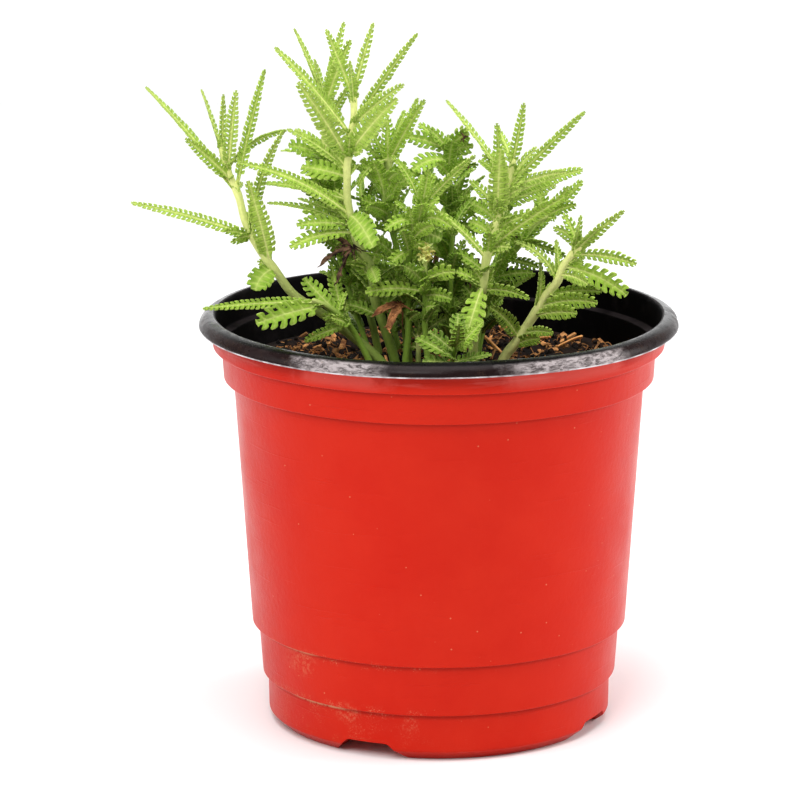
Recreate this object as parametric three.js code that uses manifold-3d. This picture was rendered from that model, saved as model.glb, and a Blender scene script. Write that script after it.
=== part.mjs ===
// Potted lavender: a young fringed lavender, not yet in flower, in a thin plastic nursery pot.
// Millimetres, +Z up. The origin is the middle of the pot's flat underside, and -Y is the front.

import * as THREE from 'three';
import { mergeVertices } from 'three/addons/utils/BufferGeometryUtils.js';
import Module from 'manifold-3d';

const wasm = await Module();
wasm.setup();

// Pot: a sheet of one thickness, drawn into a tapered cup with a rolled rim and steps in its wall.
const POT_SIDES = 32;
const POT_WALL = 1;
const BASE_RADIUS = 48;
const BASE_ROUND_RADIUS = 51.2;
const BASE_ROUND_HEIGHT = 3;
const LOW_LEDGE = 14.1;
const FOOT_TOP_RADIUS = 51.4;
const LOW_WALL_RADIUS = 53;
const HIGH_LEDGE = 29.6;
const LOW_WALL_TOP_RADIUS = 54.1;
const MAIN_WALL_RADIUS = 56;
const BAND_LEDGE = 104.1;
const MAIN_WALL_TOP_RADIUS = 61.2;
const BAND_RADIUS = 64.1;
const SKIRT_LEDGE = 113.6;
const BAND_TOP_RADIUS = 64.7;
const SKIRT_RADIUS = 67.3;
const LEDGE_SLOPE = 0.4;
const RIM_TOP = 123.7;
const RIM_OUTER_RADIUS = 71.4;
const RIM_LIP_BOTTOM = 118.8;
const RIM_ROLL_STEPS = 3;

// The rolled rim: the hollow under it, the slope of its inner lip and the cut edge at its bottom.
const UNDER_RIM_DEPTH = 2.2;
const UNDER_RIM_WIDTH = 1.6;
const UNDER_RIM_DROP = 0.3;
const LIP_THICKNESS = 1.1;
const LIP_RISE = 0.4;
const CUT_EDGE_WIDTH = 0.5;
const CUT_EDGE_RISE = 0.6;
const ROLL_OVERLAP = 0.3;

// How far the base's edge and its round move in with the wall's inner face, as shares of the wall.
const BASE_EDGE_SHARE = 0.4;
const ROUND_IN_SHARE = 1.1;
const ROUND_UP_SHARE = 0.5;

// Feet: four notches through the foot wall, each with a channel and a drain hole in the base.
const NOTCH_COUNT = 4;
const FIRST_NOTCH_ANGLE = -114.5;
const NOTCH_HEIGHT = 4.8;
const NOTCH_BOTTOM_HALF = 11.5;
const NOTCH_TOP_HALF = 6.5;
const CHANNEL_INNER_RADIUS = 34;
const CHANNEL_LENGTH = 30;
const DRAIN_HOLE_RADIUS = 3.5;
const DRAIN_HOLE_PLACE = 42;
const DRAIN_HOLE_SIDES = 8;
const DRAIN_HOLE_DEPTH = 12;
const BELOW_POT = 10;
const ABOVE_POT = 5;

// Potting mix: it fills the pot to the middle of the band, with bark and coir on top.
const CLEARANCE = 0.3;
const SOIL_SIDES = 16;
const SOIL_TOP = 107;
const SOIL_RINGS = [48, 32, 16];
const SOIL_WAVE = 0.7;
const SOIL_EDGE_MARGIN = 1;
const CHIP_COUNT = 10;
const CHIP_LENGTH = 6;
const CHIP_THICKNESS = 2.2;
const CHIP_LIFT = 0.3;
const CHIP_SPREAD = 56;
const CHIP_TILT = 0.7;
const CHIP_ROLL = 0.5;
const CHIP_SEED = 11;
const STEM_FREE_RADIUS = 6;
const HOLE_GROWTH = 1;
const HOLE_STEPS = 3;
const HOLE_POINTS = 6;
const HOLE_BELOW = 0.5;
const HOLE_ABOVE = 3;

// Foliage: blades are thicker than life and have fewer teeth, within their real outlines.
const BLADE_THICKNESS = 0.7;
const PETIOLE_HALF_WIDTH = 0.6;
const PETIOLE_END = 0.12;
const TOOTH_PITCH = 9;
const FEWEST_TEETH = 2;
const TOOTH_FOLD = THREE.MathUtils.degToRad(22);
const TOOTH_BACK = 0.25;
const NARROWEST_SHARE = 0.3;
const STEM_SIDES = 4;
const STEM_STEP = 10;
const STEM_TIP_SHARE = 0.6;
const LEAST_STEM_STEPS = 4;
const SMALLEST_EDGE = 0.08;

// Each kind of leaf: the share of its half width that the undivided middle takes, the place of its
// widest teeth along the leaf, and the share of the full width that is left at the tip.
const LEAF_KINDS = {
  comb: { core: 0.38, widest: 0.3, tipShare: 0.42 },
  lobed: { core: 0.5, widest: 0.62, tipShare: 0.6 },
  round: { core: 0.74, widest: 0.55, tipShare: 0.62 },
};

// Leaves of different stems keep this gap, and are turned aside or grow shorter where they would meet.
const SAMPLED_WIDTH = 0.9;
const LEAF_GAP = 2.2;
const OWN_LEAF_GAP = 1.3;
const STEM_GAP = 1.3;
const LEAF_START = 0.15;
const LEAF_OUTER_PART = 0.35;
const SAMPLE_STEP = 2;
const SOIL_GAP = 3;
const RIM_GAP = 1.6;
const SIGHT_TILT = THREE.MathUtils.degToRad(13.4);
const SIGHT = new THREE.Vector3(0, Math.cos(SIGHT_TILT), -Math.sin(SIGHT_TILT));
const SHIFTS = [0, -3, 3, -6, 6, -9, 9, -12, 12];
const LENGTH_SHARES = [1, 0.85, 0.7, 0.55];

// Leafy stems. A stem is a list of points from its foot in the potting mix up to its tip. A leaf is
// its place along the stem, the three coordinates of its tip, its width, bend, turn and kind.
const SHOOTS = [
  {
    name: 'shoot_left',
    radius: 1.6,
    tone: 'young',
    stem: [
      [-14, -1, 95], [-15, 0, 104], [-18, 1, 109], [-27, 1, 117], [-36, 0, 124], [-43, -1, 129],
      [-48, -2, 136], [-53, -2, 143], [-57, -2, 151], [-59, -2, 159], [-62, -2, 166], [-64, -1, 174],
    ],
    leaves: [
      [0.82, -86, -4, 192, 4.5, 1.5, 50, 'comb'],
      [0.88, -74, -12, 178, 4.5, 1, 15, 'comb'],
      [0.94, -70, 4, 190, 3.5, 0.5, 55, 'comb'],
      [0.98, -63, -5, 190, 3, 0.5, 40, 'comb'],
      [0.91, -59, -10, 192, 4.5, 0.5, 5, 'comb'],
      [0.84, -51, 4, 196, 4.5, 1, 50, 'comb'],
      [0.92, -45, 8, 177, 4, 5, 55, 'comb'],
      [0.68, -91, -2, 157, 4, 1.5, 25, 'comb'],
      [0.68, -45, -8, 180, 4.5, 5, 50, 'comb'],
      [0.58, -56, -9, 165, 6.5, -1, 5, 'comb'],
      [0.56, -54, -10, 132, 8, 2.5, 15, 'round'],
    ],
  },
  {
    name: 'shoot_left_low',
    radius: 1.1,
    tone: 'mid',
    stem: [
      [-18, -6, 95], [-18, -6, 103], [-23, -6, 115], [-28, -7, 123], [-33, -8, 127], [-37, -9, 129],
    ],
    leaves: [
      [0.93, -70, -7, 126, 4, 1.5, 35, 'comb'],
      [0.83, -54, -14, 123, 8, 1, 10, 'lobed'],
      [0.66, -40, 0, 134, 6, 2, 20, 'lobed'],
      [0.54, -40, -2, 115, 3.5, 1, 15, 'lobed'],
      [0.6, -32, 6, 137, 4.5, 1, 20, 'lobed'],
    ],
  },
  {
    name: 'shoot_centre',
    radius: 1.5,
    tone: 'young',
    stem: [
      [-12, 4, 95], [-13, 4, 107], [-16, 2, 118], [-19, 2, 127], [-20, 2, 136], [-24, 1, 144],
      [-26, 0, 152], [-27, 0, 158], [-27, 0, 164], [-27, 0, 168], [-26, 0, 176], [-25, 0, 182],
      [-25, 1, 189],
    ],
    leaves: [
      [0.84, -48, -6, 204, 5, 1.5, 40, 'comb'],
      [0.77, -41, -14, 195, 7, 1, 10, 'comb'],
      [0.98, -33, -4, 209, 4.5, 0.5, 20, 'comb'],
      [1, -19, 3, 210, 4, 0.5, 40, 'comb'],
      [0.88, -6, -5, 208, 4.5, 1, 50, 'comb'],
      [0.88, -10, -12, 194, 4.5, 1.5, 20, 'comb'],
      [0.78, -12, -8, 189, 7, 1.5, 10, 'comb'],
      [0.96, -26, -6, 200, 3.5, 0.5, 60, 'comb'],
      [0.72, -45, 4, 178, 4, 2, 50, 'comb'],
      [0.51, -59, -9, 170, 4.5, 5, 30, 'comb'],
      [0.57, -53, 2, 162, 4.5, 2.5, 45, 'comb'],
      [0.49, -42, 10, 156, 4, 1, 60, 'comb'],
      [0.47, -51, -2, 157, 4, 3.5, 60, 'comb'],
      [0.45, -44, -6, 144, 5, 3.5, 15, 'lobed'],
      [0.47, -42, 2, 149, 5, 2, 15, 'lobed'],
      [0.51, -19, -16, 146, 8, 4, 5, 'round'],
      [0.34, -31, -6, 140, 3.5, 2, 40, 'comb'],
      [0.34, -18, -12, 135, 4.5, 1.5, 10, 'round'],
      [0.67, -41, 12, 165, 7, 1, 20, 'lobed'],
      [0.77, -15, 8, 180, 4.5, 1, 30, 'comb'],
    ],
  },
  {
    name: 'shoot_centre_back',
    radius: 1.2,
    tone: 'young',
    stem: [
      [-17, 15, 95], [-18, 15, 107], [-21, 14, 121], [-26, 14, 136], [-29, 16, 147], [-32, 18, 160],
      [-34, 19, 170], [-34, 19, 178], [-34, 19, 185],
    ],
    leaves: [
      [0.96, -43, 17, 206, 3.5, 1, 50, 'comb'],
      [0.99, -37, 16, 197, 3, 0.5, 60, 'comb'],
      [0.99, -32, 22, 196, 3, 0.5, 50, 'comb'],
      [0.96, -28, 24, 207, 4, 1, 20, 'comb'],
      [0.94, -26, 14, 203, 5, 1, 15, 'comb'],
      [0.82, -26, 12, 190, 4, 1, 30, 'comb'],
      [0.73, -43, 20, 175, 4, 1, 40, 'comb'],
    ],
  },
  {
    name: 'shoot_middle',
    radius: 1.2,
    tone: 'mid',
    stem: [
      [-9, 9, 95], [-9, 9, 107], [-10, 8, 116], [-11, 8, 125], [-12, 8, 138], [-14, 8, 148],
      [-16, 8, 156], [-15, 8, 163], [-15, 8, 168],
    ],
    leaves: [
      [0.96, -4, 3, 187, 4.5, 1, 20, 'comb'],
      [0.9, -6, 12, 186, 4, 1, 35, 'comb'],
      [0.99, -10, 10, 183, 4, 0.5, 20, 'comb'],
      [1, -24, 2, 161, 3, 4, 50, 'comb'],
      [0.93, -22, 14, 179, 4, 1, 30, 'comb'],
      [0.85, -26, 12, 165, 4, 2, 30, 'comb'],
      [0.74, -6, 14, 164, 5, 1.5, 20, 'lobed'],
      [0.67, -23, 3, 157, 4.5, 1.5, 20, 'lobed'],
      [0.59, -4, 12, 148, 4.5, 1.5, 20, 'lobed'],
      [0.49, -19, 2, 145, 4.5, 1.5, 20, 'lobed'],
    ],
  },
  {
    name: 'shoot_centre_right',
    radius: 1.1,
    tone: 'mid',
    stem: [
      [-10, -3, 95], [-10, -3, 107], [-9, -2, 118], [-9, -2, 128], [-9, -3, 139], [-8, -4, 146],
      [-6, -4, 152], [-5, -4, 156],
    ],
    leaves: [
      [0.96, -14, -6, 172, 4, 3, 45, 'comb'],
      [1, -3, -8, 168, 4, 0.5, 15, 'comb'],
      [0.99, 11, -6, 172, 4, 1, 40, 'comb'],
      [0.84, -16, -10, 150, 4.5, 4, 25, 'lobed'],
      [0.86, 4, -10, 151, 5, 3.5, 15, 'lobed'],
      [0.75, 1, -8, 147, 5.5, 2, 10, 'round'],
      [0.65, -14, -8, 140, 4.5, 1, 20, 'lobed'],
      [1, -1, -2, 166, 3.5, 0.5, 10, 'comb'],
    ],
  },
  {
    name: 'shoot_right',
    radius: 1.5,
    tone: 'young',
    stem: [
      [10, -3, 95], [10, -3, 107], [11, -4, 124], [13, -4, 132], [14, -4, 140], [16, -4, 147],
      [18, -4, 154], [20, -4, 161], [21, -4, 166], [22, -4, 170],
    ],
    leaves: [
      [0.82, 2, -2, 188, 4, 1, 50, 'comb'],
      [0.67, 17, -8, 182, 4.5, 0.5, 10, 'comb'],
      [0.63, 18, -12, 175, 7, -0.5, 5, 'comb'],
      [0.92, 25, -8, 188, 4, 0.5, 30, 'comb'],
      [0.79, 43, -6, 185, 5, 1, 45, 'comb'],
      [0.85, 29, 2, 173, 3.5, 0.5, 20, 'comb'],
      [0.78, 38, 4, 165, 4, 2, 25, 'comb'],
      [0.73, 43, 8, 165, 4.5, 2.5, 25, 'lobed'],
      [0.5, 37, -8, 160, 5, 1, 25, 'lobed'],
      [0.58, 28, -2, 154, 4.5, 1.5, 15, 'lobed'],
      [0.34, 7, -22, 116, 8, 4, 10, 'lobed'],
      [0.45, -3, -10, 158, 4, 2.5, 40, 'comb'],
      [0.33, 5, -6, 137, 4.5, 1.5, 25, 'lobed'],
      [0.32, 27, -8, 129, 4, 2.5, 25, 'comb'],
      [0.67, 9, 2, 163, 4.5, 1, 30, 'comb'],
    ],
  },
  {
    name: 'shoot_right_back',
    radius: 1.2,
    tone: 'mid',
    stem: [
      [11, 7, 95], [11, 8, 107], [12, 9, 120], [12, 10, 125], [17, 11, 133], [23, 12, 140],
      [28, 12, 147], [32, 12, 150],
    ],
    leaves: [
      [0.99, 41, 10, 154, 4, 1.5, 15, 'lobed'],
      [0.96, 43, 13, 161, 4, 1, 25, 'lobed'],
      [0.75, 38, 10, 138, 3.5, 2, 30, 'lobed'],
      [0.73, 18, 14, 147, 4, 1, 20, 'lobed'],
      [0.83, 31, 16, 157, 4, 1, 20, 'comb'],
      [0.65, 30, 14, 134, 4, 1, 20, 'lobed'],
    ],
  },
  {
    name: 'shoot_right_front',
    radius: 1.6,
    tone: 'young',
    stem: [
      [17, 5, 95], [18, 6, 104], [20, 6, 109], [23, 5, 113], [26, 4, 118], [29, 3, 123], [32, 3, 128],
      [35, 2, 132], [37, 2, 137], [40, 2, 141], [42, 2, 143],
    ],
    leaves: [
      [0.88, 42, 0, 153, 3.5, 0.5, 55, 'comb'],
      [0.9, 48, -3, 150, 4, 0.5, 40, 'comb'],
      [0.89, 55, -3, 155, 4.5, 1, 35, 'comb'],
      [0.88, 59, 4, 137, 4.5, 2.5, 15, 'lobed'],
      [0.8, 56, -3, 129, 7, 3, 10, 'lobed'],
      [0.75, 44, -10, 134, 4.5, 1.5, 10, 'lobed'],
      [0.53, 47, -8, 128, 5.5, 2.5, 20, 'lobed'],
      [0.6, 49, 8, 128, 4.5, 2, 35, 'lobed'],
      [0.47, 41, -4, 124, 5, 1.5, 15, 'lobed'],
      [0.7, 22, 0, 145, 4.5, 5, 50, 'comb'],
      [0.5, 30, 2, 139, 3.5, 1.5, 45, 'comb'],
      [0.33, 15, -4, 126, 5.5, 2, 20, 'comb'],
      [0.36, 34, -4, 118, 3.5, 1.5, 20, 'lobed'],
      [0.27, 30, -2, 116, 5, 1.5, 15, 'lobed'],
      [0.72, 35, 8, 144, 3.5, 0.5, 45, 'comb'],
    ],
  },
  {
    name: 'shoot_front_small',
    radius: 0.9,
    tone: 'young',
    stem: [
      [-5, 2, 95], [-6, 1, 107], [-6, 0, 112], [-6, 0, 115], [-6, 0, 117],
    ],
    leaves: [
      [0.72, -14, -4, 124, 3, 1, 35, 'comb'],
      [0.75, -1, -3, 124, 3, 1, 35, 'comb'],
      [0.89, -6, 0, 122, 3, 0.5, 30, 'comb'],
      [0.54, 2, -5, 114, 3.5, 2, 20, 'lobed'],
      [0.54, -13, -6, 113, 3.5, 2, 20, 'lobed'],
      [0.81, 5, 2, 122, 4.5, 2.5, 20, 'lobed'],
    ],
  },
  {
    name: 'shoot_bud',
    radius: 1,
    tone: 'mid',
    stem: [
      [-3, -8, 95], [-3, -8, 107], [-4, -6, 119], [-4, -6, 129], [-4, -6, 134], [-4, -6, 140],
    ],
    leaves: [
      [0.76, -10, -12, 140, 5, 1, 5, 'round'],
      [0.82, 5, -11, 138, 5.5, 1.5, 10, 'lobed'],
      [0.66, -22, -12, 132, 5, 2.5, 15, 'lobed'],
      [0.62, 4, -12, 130, 4.5, 1.5, 15, 'lobed'],
      [0.92, -6, -8, 142, 3, 0.5, 30, 'comb'],
    ],
  },
  {
    name: 'shoot_back',
    radius: 1.3,
    tone: 'old',
    stem: [
      [2, 13, 95], [2, 13, 107], [3, 14, 118], [3, 14, 127], [3, 15, 136], [4, 16, 144], [4, 17, 153],
      [3, 18, 161], [3, 18, 169],
    ],
    leaves: [
      [0.99, -10, 14, 174, 5.5, 2, 15, 'lobed'],
      [0.98, -6, 20, 177, 4, 1, 20, 'lobed'],
      [0.99, -3, 16, 176, 4.5, 1, 20, 'comb'],
      [1, 9, 14, 175, 5.5, 1.5, 10, 'lobed'],
      [0.95, -8, 10, 164, 6, 3.5, 15, 'lobed'],
      [0.73, 9, 22, 165, 5, 0.5, 10, 'comb'],
      [0.72, 14, 24, 160, 3.5, 1.5, 50, 'comb'],
      [0.71, 14, 8, 154, 5.5, 2.5, 10, 'lobed'],
      [0.72, 4, 10, 160, 4, 0.5, 10, 'comb'],
      [0.9, 12, 20, 164, 4, 1, 30, 'comb'],
      [0.81, -3, 12, 159, 5, 1.5, 20, 'lobed'],
      [0.66, 12, 12, 145, 5.5, 2, 20, 'lobed'],
      [0.6, -2, 12, 145, 4.5, 1, 20, 'lobed'],
    ],
  },
];

// Dead woody stems of the last season, which stand bare among the green ones.
const DEAD_STEMS = [
  { name: 'dead_stem_left', radius: 1.2, stem: [[-3, 28, 95], [-3, 28, 107], [-2, 29, 124], [0, 30, 139]] },
  { name: 'dead_stem_right', radius: 1, stem: [[6, 26, 95], [6, 26, 107], [9, 27, 122], [12, 28, 134]] },
];

// Dried leaves that still hang on a stem: the point they hang from, and each tip, width, bend and turn.
const DRIED_LEAVES = [
  {
    name: 'dried_leaves_left',
    root: [-25.6, 0.2, 143],
    leaves: [[-36, 0, 147, 3, 2, 20], [-35, -2, 138, 4, 2, 40], [-30, -3, 133, 4, 1, 60]],
  },
  {
    name: 'dried_leaf_middle',
    root: [-11, -2.4, 126],
    leaves: [[-15, -9, 120, 6, 2, 10], [-19, -7, 124, 5, 2, 30]],
  },
];

// Short leafy stems that fill the middle and back of the plant: foot, tip, first height with leaves,
// pairs of leaves, longest leaf and seed of the draws.
const FILL_SHOOTS = [
  { name: 'fill_back_left', foot: [-12, 19], tip: [-22, 32, 146], from: 114, pairs: 6, length: 19, seed: 3 },
  { name: 'fill_back', foot: [-3, 21], tip: [-4, 36, 150], from: 114, pairs: 6, length: 20, seed: 5 },
  { name: 'fill_back_right', foot: [12, 18], tip: [21, 31, 148], from: 114, pairs: 6, length: 19, seed: 8 },
  { name: 'fill_middle', foot: [3, 2], tip: [4, 3, 146], from: 114, pairs: 5, length: 15, seed: 21 },
  { name: 'fill_left', foot: [-20, 5], tip: [-30, 12, 138], from: 114, pairs: 5, length: 15, seed: 34 },
  { name: 'fill_front', foot: [3, -12], tip: [5, -27, 119], from: 112, pairs: 4, length: 12, seed: 55 },
];
const ROOT_DEPTH = 95;
const FILL_RADIUS = 1;
const FILL_WIDTH = 5;
const FILL_BEND = 0.14;
const FILL_LEAN = 0.35;
const LOBED_SHARE = 0.55;
const MOST_TURN = 50;

// Draws numbers from 0 to 1, always the same ones for a seed.
function drawFrom(seed) {
  let state = seed;
  return () => {
    state = (state * 1664525 + 1013904223) % 4294967296;
    return state / 4294967296;
  };
}

// A closed geometry as a solid, with equal vertices merged and flat triangles left out.
function solidOf(geometry) {
  const bare = geometry.clone();
  bare.deleteAttribute('normal');
  bare.deleteAttribute('uv');
  const merged = mergeVertices(bare, 1e-4);
  const order = merged.index.array;
  const kept = [];
  for (let i = 0; i < order.length; i += 3) {
    const [a, b, c] = [order[i], order[i + 1], order[i + 2]];
    if (a !== b && b !== c && c !== a) kept.push(a, b, c);
  }
  return new wasm.Manifold(new wasm.Mesh({
    numProp: 3,
    vertProperties: Float32Array.from(merged.attributes.position.array),
    triVerts: Uint32Array.from(kept),
  }));
}

// The geometry of a solid's largest body: hollows that fusing sealed are filled, scraps are dropped.
function geometryOf(solid) {
  const bodies = solid.simplify(SMALLEST_EDGE).decompose();
  bodies.sort((a, b) => b.volume() - a.volume());
  const mesh = bodies[0].getMesh();
  const geometry = new THREE.BufferGeometry();
  geometry.setAttribute('position', new THREE.BufferAttribute(Float32Array.from(mesh.vertProperties), 3));
  geometry.setIndex(new THREE.BufferAttribute(Uint32Array.from(mesh.triVerts), 1));
  return geometry;
}

function geometryFrom(points, faces) {
  const geometry = new THREE.BufferGeometry();
  const places = points.flatMap((point) => [point.x, point.y, point.z]);
  geometry.setAttribute('position', new THREE.Float32BufferAttribute(places, 3));
  geometry.setIndex(faces.flat());
  return geometry;
}

// Turns a profile of [radius, height] pairs about the Z axis.
function turned(profile, sides) {
  const outline = profile.map(([radius, height]) => new THREE.Vector2(radius, height));
  return solidOf(new THREE.LatheGeometry(outline, sides).rotateX(Math.PI / 2));
}

// The pot wall's outer profile from the underside up to the rim, moved inward by a given distance.
// Each step is a ledge that hangs out over the wall below it, so that it also rises with the distance.
function wallProfile(inward) {
  return [
    [BASE_RADIUS - inward * BASE_EDGE_SHARE, inward],
    [BASE_ROUND_RADIUS - inward * ROUND_IN_SHARE, BASE_ROUND_HEIGHT + inward * ROUND_UP_SHARE],
    [FOOT_TOP_RADIUS - inward, LOW_LEDGE + inward],
    [LOW_WALL_RADIUS - inward, LOW_LEDGE + inward + LEDGE_SLOPE],
    [LOW_WALL_TOP_RADIUS - inward, HIGH_LEDGE + inward],
    [MAIN_WALL_RADIUS - inward, HIGH_LEDGE + inward + LEDGE_SLOPE],
    [MAIN_WALL_TOP_RADIUS - inward, BAND_LEDGE + inward],
    [BAND_RADIUS - inward, BAND_LEDGE + inward + LEDGE_SLOPE],
    [BAND_TOP_RADIUS - inward, SKIRT_LEDGE + inward],
    [SKIRT_RADIUS - inward, SKIRT_LEDGE + inward + LEDGE_SLOPE],
  ];
}

// The rolled rim from under its lip, round its cut edge and up to its top.
function rimProfile() {
  const lip = [
    [SKIRT_RADIUS, RIM_TOP - UNDER_RIM_DEPTH],
    [SKIRT_RADIUS + UNDER_RIM_WIDTH, RIM_TOP - UNDER_RIM_DEPTH - UNDER_RIM_DROP],
    [RIM_OUTER_RADIUS - LIP_THICKNESS, RIM_LIP_BOTTOM + LIP_RISE],
    [RIM_OUTER_RADIUS - CUT_EDGE_WIDTH, RIM_LIP_BOTTOM],
  ];
  const across = RIM_OUTER_RADIUS - SKIRT_RADIUS + ROLL_OVERLAP;
  const drop = RIM_TOP - RIM_LIP_BOTTOM - CUT_EDGE_RISE;
  for (let i = 0; i <= RIM_ROLL_STEPS; i += 1) {
    const angle = (Math.PI / 2) * (i / RIM_ROLL_STEPS);
    lip.push([RIM_OUTER_RADIUS - across * (1 - Math.cos(angle)), RIM_TOP - drop * (1 - Math.sin(angle))]);
  }
  return lip;
}

// A prism that cuts one notch and its channel, grown on all sides by a given distance.
function channelCutter(index, growth) {
  const bottom = -BELOW_POT;
  const slope = (NOTCH_BOTTOM_HALF - NOTCH_TOP_HALF) / NOTCH_HEIGHT;
  const spread = NOTCH_BOTTOM_HALF + growth - slope * bottom;
  const outline = new THREE.Shape([
    new THREE.Vector2(-spread, bottom),
    new THREE.Vector2(spread, bottom),
    new THREE.Vector2(NOTCH_TOP_HALF + growth, NOTCH_HEIGHT + growth),
    new THREE.Vector2(-NOTCH_TOP_HALF - growth, NOTCH_HEIGHT + growth),
  ]);
  const depth = CHANNEL_LENGTH + growth;
  const prism = new THREE.ExtrudeGeometry(outline, { depth, bevelEnabled: false, steps: 1 });
  prism.rotateX(Math.PI / 2);
  prism.translate(0, CHANNEL_INNER_RADIUS - growth + depth, 0);
  const turn = THREE.MathUtils.degToRad(FIRST_NOTCH_ANGLE - 90 + (index * 360) / NOTCH_COUNT);
  return solidOf(prism.rotateZ(turn));
}

function drainHole(index) {
  const radius = DRAIN_HOLE_RADIUS;
  const hole = new THREE.CylinderGeometry(radius, radius, DRAIN_HOLE_DEPTH, DRAIN_HOLE_SIDES);
  hole.rotateX(Math.PI / 2);
  hole.translate(0, DRAIN_HOLE_PLACE, NOTCH_HEIGHT);
  const turn = THREE.MathUtils.degToRad(FIRST_NOTCH_ANGLE - 90 + (index * 360) / NOTCH_COUNT);
  return solidOf(hole.rotateZ(turn));
}

const notches = [...Array(NOTCH_COUNT).keys()];

function withoutChannels(solid, growth) {
  return notches.reduce((left, index) => left.subtract(channelCutter(index, growth)), solid);
}

function makePot() {
  const outerProfile = [[0, 0], ...wallProfile(0), ...rimProfile(), [0, RIM_TOP]];
  const outer = withoutChannels(turned(outerProfile, POT_SIDES), 0);
  const innerTop = [[SKIRT_RADIUS - POT_WALL, RIM_TOP + ABOVE_POT], [0, RIM_TOP + ABOVE_POT]];
  const innerProfile = [[0, POT_WALL], ...wallProfile(POT_WALL), ...innerTop];
  const inner = withoutChannels(turned(innerProfile, POT_SIDES), POT_WALL);
  return notches.reduce((left, index) => left.subtract(drainHole(index)), outer.subtract(inner));
}

// The height of the potting mix over a point: low waves, the same for every build.
function soilHeight(x, y) {
  const wave = Math.sin(x * 0.21 + 1.3) * Math.cos(y * 0.17) + 0.5 * Math.sin(x * 0.43 - y * 0.37);
  return SOIL_TOP + SOIL_WAVE * wave;
}

function soilBody() {
  const gap = POT_WALL + CLEARANCE;
  const side = wallProfile(gap).filter(([, height]) => height < SOIL_TOP - SOIL_EDGE_MARGIN);
  const rim = [BAND_RADIUS - gap, SOIL_TOP];
  const rings = SOIL_RINGS.map((radius) => [radius, SOIL_TOP]);
  const profile = [[0, gap], ...side, rim, ...rings, [0, SOIL_TOP]];
  const outline = profile.map(([radius, height]) => new THREE.Vector2(radius, height));
  const body = new THREE.LatheGeometry(outline, SOIL_SIDES).rotateX(Math.PI / 2);
  const places = body.attributes.position;
  for (let i = 0; i < places.count; i += 1) {
    const [x, y] = [places.getX(i), places.getY(i)];
    if (places.getZ(i) > SOIL_TOP - 0.1) places.setZ(i, soilHeight(x, y));
  }
  return withoutChannels(solidOf(body), gap);
}

// A bark chip: a flat box with slanted ends, half sunk in the potting mix.
function barkChip(x, y, draw) {
  const length = CHIP_LENGTH * (0.5 + draw());
  const width = CHIP_LENGTH * (0.25 + 0.3 * draw());
  const chip = new THREE.BoxGeometry(length, width, CHIP_THICKNESS);
  const places = chip.attributes.position;
  const slant = 0.35 + 0.4 * draw();
  for (let i = 0; i < places.count; i += 1) {
    if (places.getX(i) > 0 && places.getZ(i) > 0) places.setX(i, places.getX(i) * slant);
  }
  chip.rotateY((draw() - 0.5) * CHIP_TILT);
  chip.rotateX((draw() - 0.5) * CHIP_ROLL);
  chip.rotateZ(draw() * Math.PI * 2);
  chip.translate(x, y, soilHeight(x, y) + CHIP_LIFT);
  return solidOf(chip);
}

function barkChips(feet) {
  const draw = drawFrom(CHIP_SEED);
  const chips = [];
  while (chips.length < CHIP_COUNT) {
    const radius = CHIP_SPREAD * Math.sqrt(draw());
    const angle = draw() * Math.PI * 2;
    const x = radius * Math.cos(angle);
    const y = radius * Math.sin(angle);
    const free = feet.every((foot) => Math.hypot(x - foot.x, y - foot.y) > STEM_FREE_RADIUS);
    if (free) chips.push(barkChip(x, y, draw));
  }
  return chips;
}

// A round bar along a curve, from one radius to another, with flat ends.
function barAlong(curve, steps, radiusAt) {
  const points = [];
  const faces = [];
  for (let i = 0; i <= steps; i += 1) {
    const share = i / steps;
    const middle = curve.getPoint(share);
    const along = curve.getTangent(share);
    const right = new THREE.Vector3(0, 1, 0).cross(along).normalize();
    const front = along.clone().cross(right);
    for (let k = 0; k < STEM_SIDES; k += 1) {
      const angle = (k / STEM_SIDES) * Math.PI * 2;
      const out = right.clone().multiplyScalar(Math.cos(angle)).addScaledVector(front, Math.sin(angle));
      points.push(middle.clone().addScaledVector(out, radiusAt(share)));
    }
  }
  for (let i = 0; i < steps; i += 1) {
    for (let k = 0; k < STEM_SIDES; k += 1) {
      const a = i * STEM_SIDES + k;
      const b = i * STEM_SIDES + ((k + 1) % STEM_SIDES);
      faces.push([a, b, b + STEM_SIDES], [a, b + STEM_SIDES, a + STEM_SIDES]);
    }
  }
  const last = steps * STEM_SIDES;
  for (let k = 1; k < STEM_SIDES - 1; k += 1) {
    faces.push([0, k + 1, k], [last, last + k, last + k + 1]);
  }
  return solidOf(geometryFrom(points, faces));
}

function stemCurve(shoot) {
  const points = shoot.stem.map((point) => new THREE.Vector3(...point));
  return new THREE.CatmullRomCurve3(points, false, 'catmullrom', 0.5);
}

function stemRadius(shoot, share) {
  return shoot.radius * (1 - (1 - STEM_TIP_SHARE) * share);
}

// The hole that a stem stands in: its own bar, wider, up to just above the potting mix.
function stemHole(shoot, curve) {
  const [foot, exit] = [curve.getPoint(0), curve.points[1].clone()];
  const along = exit.clone().sub(foot).normalize();
  const low = foot.clone().addScaledVector(along, -HOLE_BELOW);
  let top = 0;
  while (curve.getPoint(top).z < SOIL_TOP + HOLE_ABOVE) top += 0.01;
  const points = [low];
  for (let i = 0; i <= HOLE_POINTS; i += 1) points.push(curve.getPoint((top * i) / HOLE_POINTS));
  const route = new THREE.CatmullRomCurve3(points, false, 'catmullrom', 0.5);
  return barAlong(route, HOLE_STEPS, () => shoot.radius + HOLE_GROWTH);
}

// The middle line of a leaf at a share of its length.
function leafPoint(leaf, share) {
  const rest = 1 - share;
  return leaf.base.clone().multiplyScalar(rest * rest)
    .addScaledVector(leaf.elbow, 2 * rest * share)
    .addScaledVector(leaf.tip, share * share);
}

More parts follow.
